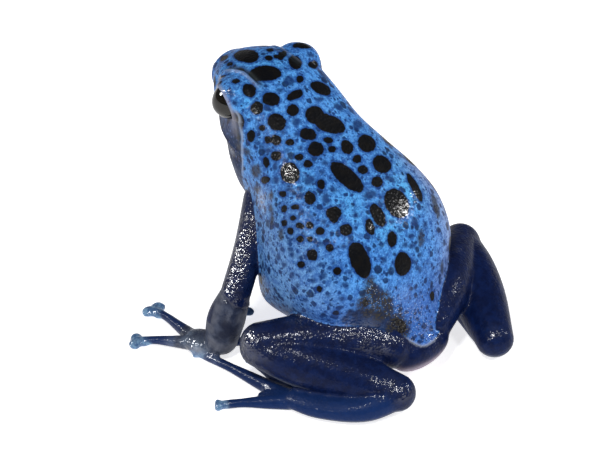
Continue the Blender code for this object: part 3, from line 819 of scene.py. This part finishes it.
def inside(pixels, soft):
    """How far inside a closed outline in the view each point lies: 1 within, 0 beyond, soft edged."""
    away = points - STATION
    depth = -(away @ BACK)
    u = WIDE / 2 + FOCAL_PX * (away @ RIGHT) / depth
    v = TALL / 2 - FOCAL_PX * (away @ UP) / depth
    ring = np.array(pixels, float)
    crossed, edge = np.zeros(count, bool), np.full(count, 1e9)
    for one, two in zip(ring, np.roll(ring, -1, 0)):
        straddles = (one[1] > v) != (two[1] > v)
        reach = (two[0] - one[0]) * (v - one[1]) / (two[1] - one[1] + 1e-9) + one[0]
        crossed ^= straddles & (u < reach)
        way = two - one
        t = np.clip(((u - one[0]) * way[0] + (v - one[1]) * way[1]) / (way @ way), 0, 1)
        edge = np.minimum(edge, np.hypot(u - one[0] - t * way[0], v - one[1] - t * way[1]))
    signed = np.where(crossed, edge, -edge)
    return smooth(-soft, soft, signed), np.abs(signed)


# The blue of the tail flap ends in a round tip; the flesh round it is the hips' navy.
FLAP = ((300, 250), (330, 318), (352, 310), (372, 311), (385, 314), (392, 322), (400, 334), (409, 340), (415, 343.5),
        (421, 346), (427, 345), (434, 340.5), (439, 333), (441, 324), (443, 305), (446.5, 290), (450, 250))
flap, flap_edge = inside(FLAP, 1.6)
FOREARM = ((218, 290), (225.5, 298), (229, 304), (234, 308), (241, 309.5), (252, 307), (258, 330), (250, 356),
           (232, 364), (214, 352), (210, 325))
fore, _ = inside(FOREARM, 1.3)
by_elbow = (x > 9) & (z > 5.5) & (z < 12.5) & (facing > 0) & (share["upper_arm"] + share["forearm"] > 0.5)
lower_arm = np.where(by_elbow, fore, lower_arm)
pad = pad * (1 - patch(((250, 310, 1.0, 0.75),)))
behind = smooth(-7.5, -6.5, y) * smooth(9.5, 8.5, z)
seat = (1 - flap) * behind * smooth(8.0, 6.6, z)
seat = np.maximum(seat, smooth(3.4, 2.8, z) * behind)
# Painted reflection: a pale grey rim along the lower edge of the tail flap.
painted_flap_reflection = bell(flap_edge, 1.0) * smooth(336, 341, TALL / 2 - FOCAL_PX * ((points - STATION) @ UP) / -((points - STATION) @ BACK))
painted_flap_reflection = painted_flap_reflection * (facing > 0.05) * behind

# Wet, glistening places, and a painted sheen of paler sky blue over the right of the back.
shiny = patch((
    (290, 172, 1.0, 1.0), (405, 211, 1.1, 1.0), (370, 227, 0.35, 1.0), (262, 200, 1.3, 0.9), (270, 196, 0.9, 0.5),
    (252, 222, 1.2, 1.0), (246, 238, 1.3, 1.0), (241, 255, 1.3, 1.0), (237, 272, 1.3, 1.0), (345, 165, 0.4, 0.7),
    (233, 290, 1.2, 0.9), (238, 300, 0.9, 0.8), (228, 318, 0.8, 0.35), (247, 345, 1.3, 0.9), (252, 356, 1.1, 0.7),
    (250, 340, 1.6, 0.9), (262, 352, 1.2, 0.6), (300, 320, 1.5, 0.5), (345, 330, 1.6, 0.9), (368, 335, 1.6, 1.0),
    (385, 342, 1.2, 0.8), (392, 385, 1.4, 1.0), (402, 392, 1.2, 0.9), (380, 385, 1.2, 0.6), (415, 316, 1.8, 0.7),
    (428, 330, 1.4, 0.6), (405, 295, 1.3, 0.45), (196, 345, 1.6, 0.9), (176, 338, 1.2, 0.5), (216, 356, 0.9, 0.7),
    (262, 392, 1.0, 0.8), (220, 78, 0.6, 1.0), (227, 91, 0.6, 1.0), (226, 129, 0.5, 1.0), (231, 152, 0.6, 0.7),
    (495, 330, 1.0, 0.8), (458, 250, 0.5, 0.8), (285, 108, 0.5, 0.5), (233, 80, 0.5, 0.6), (413, 195, 0.7, 0.6),
    (416, 192, 0.5, 0.7), (150, 306, 0.8, 0.5), (137, 341, 0.8, 0.5), (226, 406, 0.7, 0.5), (300, 385, 0.8, 0.3),
))
shiny = np.clip(shiny + 0.30 * share["upper_arm"] + 0.12 * share["thigh"] * smooth(0.0, 0.5, nz)
                + 0.35 * pad + 0.25 * share["hand"], 0, 1)
painted_sheen = patch(((410, 190, 2.4, 1.0), (400, 165, 1.8, 0.6), (350, 205, 2.2, 0.5), (385, 225, 2.2, 0.7),
                (300, 175, 1.8, 0.35), (270, 62, 2.0, 0.4), (247, 100, 1.5, 0.5))) * trunk
wedge = patch(((231, 114, 0.5, 0.9), (233, 121, 0.65, 1.0), (236, 129, 0.6, 1.0), (238, 137, 0.55, 1.0),
               (239, 147, 0.5, 0.8), (237, 122, 0.5, 1.0)))
smudge = patch(((370, 282, 0.8, 0.8), (371, 290, 1.0, 0.9), (374, 298, 1.2, 0.95), (384, 297, 0.9, 0.85),
                (386, 303, 1.0, 0.9), (364, 303, 1.0, 0.95), (376, 307, 1.1, 0.9), (388, 311, 1.0, 0.9),
                (368, 312, 0.9, 0.8), (380, 315, 1.0, 0.85), (397, 321, 1.1, 1.0), (401, 328, 1.2, 1.0),
                (394, 328, 1.1, 1.0), (404, 334, 0.8, 0.9)))
# Painted shade: a dark navy band on the flank just above the thigh, where the two meet.
painted_crease_shade = patch(((351, 313, 0.6, 0.6), (359, 315, 0.8, 0.85), (368, 317, 0.9, 1.0), (378, 319, 1.0, 1.0),
                (386, 323, 0.9, 1.0), (391, 330, 0.8, 1.0), (356, 321, 0.8, 0.9), (366, 324, 0.9, 1.0),
                (377, 327, 0.9, 1.0), (346, 319, 0.6, 0.6)))
# Painted sparkle: where the tiny pale specks of painted highlight go.
painted_sparkle_patches = patch(((372, 291, 1.1, 0.8), (377, 303, 1.2, 0.8), (393, 305, 1.4, 1.0), (400, 312, 1.2, 0.9),
                (414, 316, 1.8, 0.6), (424, 328, 1.6, 0.8), (430, 336, 1.0, 0.6), (413, 334, 1.0, 0.5),
                (418, 300, 1.4, 0.35), (258, 203, 1.2, 0.5), (264, 212, 1.2, 0.3)))
fore_dark = patch(((226, 326, 0.8, 0.7), (230, 332, 0.9, 0.9), (224, 335, 0.8, 0.8), (234, 338, 0.7, 0.8),
                   (217, 338, 0.5, 0.5)))
# Painted reflection: paler patches along the edges and lower end of the forearm.
forearm_painted_reflection = patch(((212, 318, 0.8, 0.8), (210, 328, 0.7, 0.8), (217, 308, 0.8, 0.6), (222, 299, 0.7, 0.5),
                   (241, 318, 0.7, 0.7), (243, 328, 0.6, 0.7), (220, 348, 0.8, 0.8), (230, 348, 0.8, 0.8),
                   (212, 342, 0.7, 0.7)))
# Painted highlight: pale glints on the wet palm and its tubercles.
palm_painted_highlight = patch(((196, 345, 0.9, 0.9), (186, 340, 0.7, 0.6), (202, 352, 0.7, 0.8), (190, 333, 0.6, 0.5),
                   (176, 333, 0.6, 0.4), (170, 342, 0.6, 0.4), (216, 358, 0.5, 0.4)))
masks = {
    "spot_black": np.clip(edge_of[0], -2, 2),
    "spot_soft": np.clip(edge_of[1], -2, 2),
    "spot_brown": np.clip(edge_of[2], -2, 2),
    "trunk": trunk,
    "flank": flank,
    "rump": rump,
    "under": under * (1 - trunk) + belly * trunk,
    "leg": leg,
    "lower_arm": lower_arm * smooth(1.0, 0.3, pad),
    "foot": low_foot,
    "pad": pad,
    "face": face_side,
    "painted_ridge_highlight": np.clip(painted_ridge_highlight, 0, 1),
    "painted_groove_shade": np.clip(np.maximum(painted_groove_shade, painted_mouth_shade), 0, 1),
    "lid": lid_rim,
    "painted_rim_reflection": painted_rim_reflection,
    "painted_inner_thigh_reflection": painted_inner_thigh_reflection,
    "seat": seat,
    "painted_flap_reflection": painted_flap_reflection,
    "shiny": shiny,
    "painted_sheen": painted_sheen,
    "wedge": wedge,
    "smudge": smudge,
    "painted_crease_shade": painted_crease_shade,
    "painted_sparkle_patches": painted_sparkle_patches,
    "fore_dark": fore_dark,
    "forearm_painted_reflection": forearm_painted_reflection,
    "palm_painted_highlight": palm_painted_highlight,
}
for name, values in masks.items():
    attribute = skin.data.attributes.new(name, "FLOAT", "POINT")
    attribute.data.foreach_set("value", values.astype(np.float32))
put_points(skin, points + SHIFT)
skin.data.shade_smooth()


# ---------------------------------------------------------------- materials
class Nodes:
    """Short ways to build a material's node tree."""

    def __init__(self, name):
        self.material = bpy.data.materials.new(name)
        self.material.use_nodes = True
        self.tree = self.material.node_tree
        self.shader = self.tree.nodes["Principled BSDF"]
        self.place = self.tree.nodes.new("ShaderNodeTexCoord").outputs["Object"]

    def wire(self, value, socket):
        if isinstance(value, bpy.types.NodeSocket):
            self.tree.links.new(value, socket)
        elif isinstance(value, tuple):
            socket.default_value = (*value, 1) if len(value) == 3 else value
        else:
            socket.default_value = value

    def attribute(self, name):
        node = self.tree.nodes.new("ShaderNodeAttribute")
        node.attribute_name = name
        return node.outputs["Fac"]

    def math(self, kind, one, two=0.0, three=0.0, clamp=False):
        node = self.tree.nodes.new("ShaderNodeMath")
        node.operation, node.use_clamp = kind, clamp
        for value, socket in zip((one, two, three), node.inputs):
            self.wire(value, socket)
        return node.outputs[0]

    def step(self, value, low, high, to_low=0.0, to_high=1.0):
        node = self.tree.nodes.new("ShaderNodeMapRange")
        node.interpolation_type = "SMOOTHSTEP"
        for v, socket in zip((value, low, high, to_low, to_high), node.inputs):
            self.wire(v, socket)
        return node.outputs[0]

    def mix(self, share, one, two, kind="MIX"):
        node = self.tree.nodes.new("ShaderNodeMix")
        node.data_type, node.blend_type = "RGBA", kind
        self.wire(share, node.inputs["Factor"])
        self.wire(one, node.inputs["A"])
        self.wire(two, node.inputs["B"])
        return [o for o in node.outputs if o.type == "RGBA"][0]

    def noise(self, size, detail=2.0, roughness=0.5, distortion=0.0, place=None):
        """Noise with features of about `size` millimetres."""
        node = self.tree.nodes.new("ShaderNodeTexNoise")
        self.wire(self.place if place is None else place, node.inputs["Vector"])
        node.inputs["Scale"].default_value = 1 / (size * MM)
        node.inputs["Detail"].default_value = detail
        node.inputs["Roughness"].default_value = roughness
        node.inputs["Distortion"].default_value = distortion
        return node

    def cells(self, size, feature="F1", smoothness=0.0, place=None, chance=1.0):
        """A Voronoi pattern with cells of about `size` millimetres; distances come in cells."""
        node = self.tree.nodes.new("ShaderNodeTexVoronoi")
        self.wire(self.place if place is None else place, node.inputs["Vector"])
        node.feature = feature
        node.inputs["Scale"].default_value = 1 / (size * MM)
        node.inputs["Randomness"].default_value = chance
        if feature == "SMOOTH_F1":
            node.inputs["Smoothness"].default_value = smoothness
        return node

    def shifted(self, amount, size):
        """Object coordinates pushed about by noise, by `amount` mm."""
        wobble = self.noise(size, 1.0).outputs["Color"]
        node = self.tree.nodes.new("ShaderNodeVectorMath")
        node.operation = "SUBTRACT"
        self.wire(wobble, node.inputs[0])
        node.inputs[1].default_value = (0.5, 0.5, 0.5)
        scaled = self.tree.nodes.new("ShaderNodeVectorMath")
        scaled.operation = "SCALE"
        self.wire(node.outputs[0], scaled.inputs[0])
        scaled.inputs["Scale"].default_value = 2 * amount * MM
        added = self.tree.nodes.new("ShaderNodeVectorMath")
        added.operation = "ADD"
        self.wire(self.place, added.inputs[0])
        self.wire(scaled.outputs[0], added.inputs[1])
        return added.outputs[0]


def frog_skin():
    n = Nodes("frog_skin")
    att = {name: n.attribute(name) for name in masks}
    m = n.math
    broad = n.noise(5.0, 2.0).outputs["Fac"]
    medium = n.noise(0.9, 3.0, 0.6).outputs["Fac"]
    mottle = n.noise(0.52, 2.0, 0.55, 0.4).outputs["Fac"]
    fine = n.noise(0.22, 2.0, 0.6).outputs["Fac"]

    # Back: sky blue, clearer in patches; flank paler and greyer; rump deeper.
    blue = n.mix(n.step(broad, 0.38, 0.62), (0.060, 0.230, 0.60), (0.082, 0.300, 0.70))
    blue = n.mix(att["flank"], blue, (0.112, 0.262, 0.53))
    blue = n.mix(att["rump"], blue, (0.036, 0.130, 0.44))
    # Painted sheen: paler sky blue where the back and crown catch the light.
    blue = n.mix(m("MULTIPLY", att["painted_sheen"], 0.9), blue, (0.085, 0.430, 0.82))
    # Painted reflection of the pale surroundings along the right flank.
    blue = n.mix(m("MULTIPLY", att["painted_rim_reflection"], 0.55), blue, (0.32, 0.36, 0.52))
    blue = n.mix(m("MULTIPLY", n.step(medium, 0.48, 0.62), 0.58), blue, (0.016, 0.075, 0.30))
    dense = m("ADD", m("MULTIPLY", att["flank"], 0.75), m("MULTIPLY", att["rump"], 0.55), clamp=True)
    mottled = m("MULTIPLY", n.step(mottle, 0.50, 0.60), m("SUBTRACT", 0.62, m("MULTIPLY", dense, 0.30)))
    blue = n.mix(mottled, blue, (0.010, 0.050, 0.22))
    blue = n.mix(m("MULTIPLY", n.step(fine, 0.50, 0.64), 0.45), blue, (0.014, 0.065, 0.28))
    blue = n.mix(m("MULTIPLY", n.step(fine, 0.46, 0.34), 0.30), blue, (0.19, 0.47, 0.90))

    # Small dark dots between the spots, in three sizes, closest together on flank and rump.
    shifted = n.shifted(0.16, 0.5)
    for size, reach, base, gain, tone in ((1.40, 0.37, 0.40, 0.20, (0.0030, 0.010, 0.042)),
                                          (0.92, 0.42, 0.40, 0.75, (0.0040, 0.017, 0.078)),
                                          (0.50, 0.40, 0.50, 0.60, (0.008, 0.034, 0.14))):
        cell = n.cells(size, place=shifted)
        pick = n.tree.nodes.new("ShaderNodeSeparateColor")
        n.wire(cell.outputs["Color"], pick.inputs[0])
        radius = m("MULTIPLY", m("ADD", m("MULTIPLY", pick.outputs[0], 0.75), 0.35), reach)
        inside = n.step(m("SUBTRACT", radius, cell.outputs["Distance"]), -0.06, 0.07)
        chance = m("ADD", base, m("MULTIPLY", dense, gain))
        shown = n.step(m("SUBTRACT", chance, pick.outputs[1]), -0.05, 0.05)
        blue = n.mix(m("MULTIPLY", m("MULTIPLY", inside, shown), 0.88), blue, tone)

    # Large spots: a soft navy halo, then the dark middle, their rims a little uneven.
    uneven = m("MULTIPLY", m("SUBTRACT", n.noise(0.62, 3.0, 0.65).outputs["Fac"], 0.5), 0.56)
    soft = m("ADD", att["spot_soft"], uneven)
    blue = n.mix(m("MULTIPLY", n.step(soft, 0.26, -0.22), 0.88), blue, (0.008, 0.032, 0.125))
    brown = m("ADD", att["spot_brown"], m("MULTIPLY", uneven, 1.6))
    brown_tone = n.mix(n.step(fine, 0.42, 0.62), (0.008, 0.010, 0.022), (0.042, 0.043, 0.046))
    blue = n.mix(m("MULTIPLY", n.step(brown, 0.30, -0.40), 0.84), blue, brown_tone)
    black = m("ADD", att["spot_black"], m("MULTIPLY", uneven, 0.8))
    blue = n.mix(m("MULTIPLY", n.step(black, 0.38, 0.02), 0.72), blue, (0.010, 0.050, 0.22))
    black_tone = n.mix(n.step(medium, 0.35, 0.7), (0.0022, 0.0026, 0.0040), (0.0050, 0.0045, 0.0045))
    blue = n.mix(n.step(black, 0.06, -0.05), blue, black_tone)
    # Painted shade in the crease between flank and thigh.
    blue = n.mix(m("MULTIPLY", n.step(att["painted_crease_shade"], 0.06, 0.50), 0.88), blue, (0.0035, 0.011, 0.045))
    smudged = m("MULTIPLY", n.step(att["smudge"], 0.10, 0.72), m("ADD", 0.62, m("MULTIPLY", n.step(fine, 0.42, 0.56), 0.36)))
    blue = n.mix(smudged, blue, n.mix(n.step(fine, 0.38, 0.62), (0.004, 0.005, 0.010), (0.030, 0.026, 0.021)))

    # Limbs: very dark navy, bluer on the feet; the grey-blue underneath is painted light bounced up from the floor, and
    # the grey-blue on forearm and palm is painted reflected light.
    navy = n.mix(n.step(medium, 0.36, 0.66), (0.0022, 0.0062, 0.034), (0.0036, 0.0110, 0.056))
    navy = n.mix(att["foot"], navy, n.mix(medium, (0.004, 0.016, 0.072), (0.008, 0.028, 0.115)))
    # Painted bounce light: the grey of the limbs' undersides.
    grey = n.mix(fine, (0.070, 0.082, 0.118), (0.125, 0.138, 0.170))
    navy = n.mix(m("MULTIPLY", n.step(att["under"], 0.30, 1.0), 0.85), navy, grey)
    # Painted reflected light: the lower forearm's grey-blue, paler still at its edges.
    forearm_tone = n.mix(n.step(medium, 0.35, 0.65), (0.020, 0.027, 0.054), (0.058, 0.070, 0.106))
    forearm_tone = n.mix(m("MULTIPLY", n.step(att["forearm_painted_reflection"], 0.05, 0.60), 0.70), forearm_tone, n.mix(medium, (0.085, 0.092, 0.122), (0.150, 0.158, 0.190)))
    forearm_tone = n.mix(m("MULTIPLY", n.step(att["fore_dark"], 0.05, 0.60), 0.85), forearm_tone, (0.009, 0.012, 0.028))
    navy = n.mix(m("MULTIPLY", att["lower_arm"], 0.9), navy, forearm_tone)
    disc_tone = n.mix(n.step(mottle, 0.40, 0.62), (0.060, 0.135, 0.28), (0.165, 0.30, 0.47))
    # Painted highlight on the palm.
    navy = n.mix(m("MULTIPLY", att["palm_painted_highlight"], 0.75), navy, (0.21, 0.27, 0.37))
    navy = n.mix(att["pad"], navy, disc_tone)

    # Face side and throat: dark blue below the fold, with lilac grains.
    face = n.mix(n.step(n.cells(0.5).outputs["Distance"], 0.12, 0.36), (0.046, 0.066, 0.18), (0.0028, 0.0072, 0.036))
    blue = n.mix(m("MULTIPLY", att["face"], 0.92), blue, face)
    belly = n.mix(n.step(medium, 0.4, 0.65), (0.022, 0.070, 0.28), (0.009, 0.026, 0.11))
    blue = n.mix(m("MULTIPLY", att["under"], 0.8), blue, belly)
    blue = n.mix(n.step(m("ADD", att["seat"], m("MULTIPLY", m("SUBTRACT", medium, 0.5), 0.5)), 0.35, 0.65), blue, navy)
    # Painted reflection of the floor on the inner thighs.
    blue = n.mix(m("MULTIPLY", att["painted_inner_thigh_reflection"], 0.75), blue, (0.34, 0.27, 0.34))
    # Painted reflection along the tail flap's lower edge.
    blue = n.mix(m("MULTIPLY", att["painted_flap_reflection"], 0.6), blue, (0.42, 0.46, 0.55))
    blue = n.mix(m("MULTIPLY", att["wedge"], 0.88), blue, n.mix(fine, (0.030, 0.030, 0.028), (0.105, 0.100, 0.088)))
    # Painted shade in the grooves of brow, mouth and nostrils, dark olive-grey.
    blue = n.mix(m("MULTIPLY", att["painted_groove_shade"], 0.85), blue, (0.018, 0.025, 0.028))
    # Painted highlight on the crests of brow and side fold.
    blue = n.mix(m("MULTIPLY", att["painted_ridge_highlight"], 0.78), blue, (0.30, 0.35, 0.45))
    blue = n.mix(m("MULTIPLY", att["lid"], 0.68), blue, (0.30, 0.29, 0.34))

    # Painted highlights: tiny pale specks that stand for wet grains catching the light.
    speck = n.cells(0.20, place=n.shifted(0.05, 0.2))
    pick = n.tree.nodes.new("ShaderNodeSeparateColor")
    n.wire(speck.outputs["Color"], pick.inputs[0])
    painted_sparkle = m("MULTIPLY", n.step(speck.outputs["Distance"], 0.34, 0.20), n.step(pick.outputs[0], 0.56, 0.62))
    blue = n.mix(m("MULTIPLY", m("MULTIPLY", painted_sparkle, att["painted_sparkle_patches"]), 0.80), blue, (0.52, 0.60, 0.72))

    border = m("ADD", att["trunk"], m("MULTIPLY", m("SUBTRACT", medium, 0.5), 0.5))
    colour = n.mix(n.step(border, 0.35, 0.65), navy, blue)
    n.wire(colour, n.shader.inputs["Base Color"])

    # Moist and granular: close-set grains, finest on the limbs.
    grain = n.cells(0.34, "SMOOTH_F1", 0.35, place=n.shifted(0.06, 0.3))
    grain_height = n.step(grain.outputs["Distance"], 0.75, 0.0)
    small = n.cells(0.15, "SMOOTH_F1", 0.5)
    small_height = n.step(small.outputs["Distance"], 0.75, 0.0)
    height = m("ADD", m("MULTIPLY", grain_height, 0.9), m("MULTIPLY", small_height, 0.18))
    height = m("ADD", height, m("MULTIPLY", medium, 0.5))
    height = m("MULTIPLY", height, m("ADD", 0.40, m("MULTIPLY", att["shiny"], 0.60)))
    bump = n.tree.nodes.new("ShaderNodeBump")
    bump.inputs["Strength"].default_value = 1.0
    bump.inputs["Distance"].default_value = 0.060 * MM
    n.wire(height, bump.inputs["Height"])
    n.wire(bump.outputs[0], n.shader.inputs["Normal"])
    rough = m("ADD", 0.42, m("MULTIPLY", m("SUBTRACT", fine, 0.5), 0.3))
    n.wire(rough, n.shader.inputs["Roughness"])
    coat = m("ADD", 0.035, m("MULTIPLY", m("POWER", att["shiny"], 1.3), 0.96))
    n.wire(coat, n.shader.inputs["Coat Weight"])
    n.shader.inputs["Coat Roughness"].default_value = 0.10
    n.shader.inputs["Coat IOR"].default_value = 1.75
    n.wire(bump.outputs[0], n.shader.inputs["Coat Normal"])
    n.shader.inputs["Specular IOR Level"].default_value = 0.06
    return n.material


def eye_finish():
    """Near-black iris with a dark bronze ring, and at the lower rim an olive-grey painted reflection of the floor,
    under a wet cornea.
    """
    n = Nodes("frog_eye")
    m = n.math
    ring, rim = n.attribute("ring"), n.attribute("painted_floor_reflection")
    fleck = n.noise(0.14, 3.0, 0.7).outputs["Fac"]
    iris = n.mix(n.step(fleck, 0.42, 0.70), (0.003, 0.0025, 0.002), (0.013, 0.009, 0.005))
    colour = n.mix(n.step(ring, 0.40, 0.46), (0.0015, 0.0015, 0.002), iris)
    colour = n.mix(m("MULTIPLY", n.step(ring, 0.94, 1.12), 0.8), colour, (0.010, 0.010, 0.009))
    # Painted reflection of the floor on the eye's lower rim.
    colour = n.mix(m("MULTIPLY", rim, 0.85), colour, n.mix(fleck, (0.022, 0.024, 0.018), (0.052, 0.054, 0.045)))
    n.wire(colour, n.shader.inputs["Base Color"])
    n.shader.inputs["Roughness"].default_value = 0.25
    n.shader.inputs["Specular IOR Level"].default_value = 0.0
    n.shader.inputs["Coat Weight"].default_value = 0.85
    n.shader.inputs["Coat Roughness"].default_value = 0.03
    return n.material


skin.data.materials.clear()
skin.data.materials.append(frog_skin())
flesh = [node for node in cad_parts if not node.startswith("eye_")]
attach(skin, "root")
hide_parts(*flesh)

# ---------------------------------------------------------------- eyes
eye_material = eye_finish()
for side, s in (("L", 1), ("R", -1)):
    centre = np.array(EYE) * (s, 1, 1)
    gaze = look * (s, 1, 1)
    eye = blob("eyeball_" + side, (0, 0, 0), (EYE_R,) * 3, 0, 64, 40)
    p = points_of(eye)
    n = p / np.linalg.norm(p, axis=1)[:, None]
    angle = np.arccos(np.clip(n @ gaze, -1, 1))
    p = n * (EYE_R + 0.10 * smooth(0.85, 0.0, angle))[:, None]      # the cornea stands a little proud
    level = np.cross((0, 0, 1), gaze)
    level /= np.linalg.norm(level)
    top = np.cross(gaze, level)
    ring = np.hypot(0.85 * (n @ level), 1.12 * (n @ top)) + np.where(n @ gaze < 0, 1.0, 0.0)
    # Where the painted floor reflection lies: the lower rim, away from the pupil.
    painted_floor_reflection = smooth(0.05, 0.60, n @ (0.62 * np.array((-0.71 * s, -0.71, 0)) - 0.78 * np.array((0, 0, 1)))) * smooth(0.35, 0.80, angle)
    put_points(eye, p + centre + SHIFT)
    for name, values in (("ring", ring), ("painted_floor_reflection", painted_floor_reflection)):
        attribute = eye.data.attributes.new(name, "FLOAT", "POINT")
        attribute.data.foreach_set("value", values.astype(np.float32))
    eye.data.shade_smooth()
    eye.data.materials.append(eye_material)
    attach(eye, "root")
    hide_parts("eye_" + side)

# ---------------------------------------------------------------- floor, light and camera
bpy.ops.mesh.primitive_plane_add(size=3.0, location=(0, 0, 0))
floor = bpy.context.object
floor.name = "floor"
pale = Nodes("floor_white")
pale.shader.inputs["Base Color"].default_value = (0.82, 0.82, 0.82, 1)
pale.shader.inputs["Roughness"].default_value = 0.9
pale.shader.inputs["Specular IOR Level"].default_value = 0.0
pale.shader.inputs["Emission Color"].default_value = (1.0, 0.99, 0.99, 1)
pale.shader.inputs["Emission Strength"].default_value = 0.72
floor.data.materials.append(pale.material)


def softbox(name, azimuth, height, size, power, colour=(1, 1, 1), away=0.45):
    """A square soft light aimed at the frog; azimuth as for the camera, lengths in metres."""
    a, e = math.radians(azimuth), math.radians(height)
    way = Vector((math.sin(a) * math.cos(e), -math.cos(a) * math.cos(e), math.sin(e)))
    light = bpy.data.lights.new(name, "AREA")
    light.shape, light.size, light.energy, light.color = "SQUARE", size, power, colour
    obj = bpy.data.objects.new(name, light)
    bpy.context.scene.collection.objects.link(obj)
    obj.location = way * away + Vector((0, 0, 0.012))
    obj.rotation_euler = way.to_track_quat("Z", "Y").to_euler()
    return obj


softbox("key", 115, 58, 0.05, 0.90)
softbox("right", -126, 28, 0.05, 0.66)
softbox("top", 179, 51, 0.06, 0.42)
softbox("side", 98, 30, 0.04, 0.28)
glint = softbox("glint", 38, 34, 0.11, 2.4)
glint.visible_diffuse = False                # it only draws the window-like glint on the wet eye
world = bpy.data.worlds.new("studio")
world.use_nodes = True
world.node_tree.nodes["Background"].inputs["Color"].default_value = (0.93, 0.96, 1.0, 1)
world.node_tree.nodes["Background"].inputs["Strength"].default_value = 0.16
bpy.context.scene.world = world
bpy.context.scene.view_settings.view_transform = "Standard"
bpy.context.scene.view_settings.look = "None"

lens = bpy.data.cameras.new("camera")
lens.sensor_width = 36.0
lens.lens = FOCAL_PX * 36.0 / WIDE
lens.clip_start, lens.clip_end = 0.01, 20
camera = bpy.data.objects.new("camera", lens)
bpy.context.scene.collection.objects.link(camera)
camera.matrix_world = Matrix.Translation(Vector((STATION + SHIFT) * MM)) @ Matrix(
    np.stack([RIGHT, UP, BACK], 1).tolist()
).to_4x4()
bpy.context.scene.camera = camera
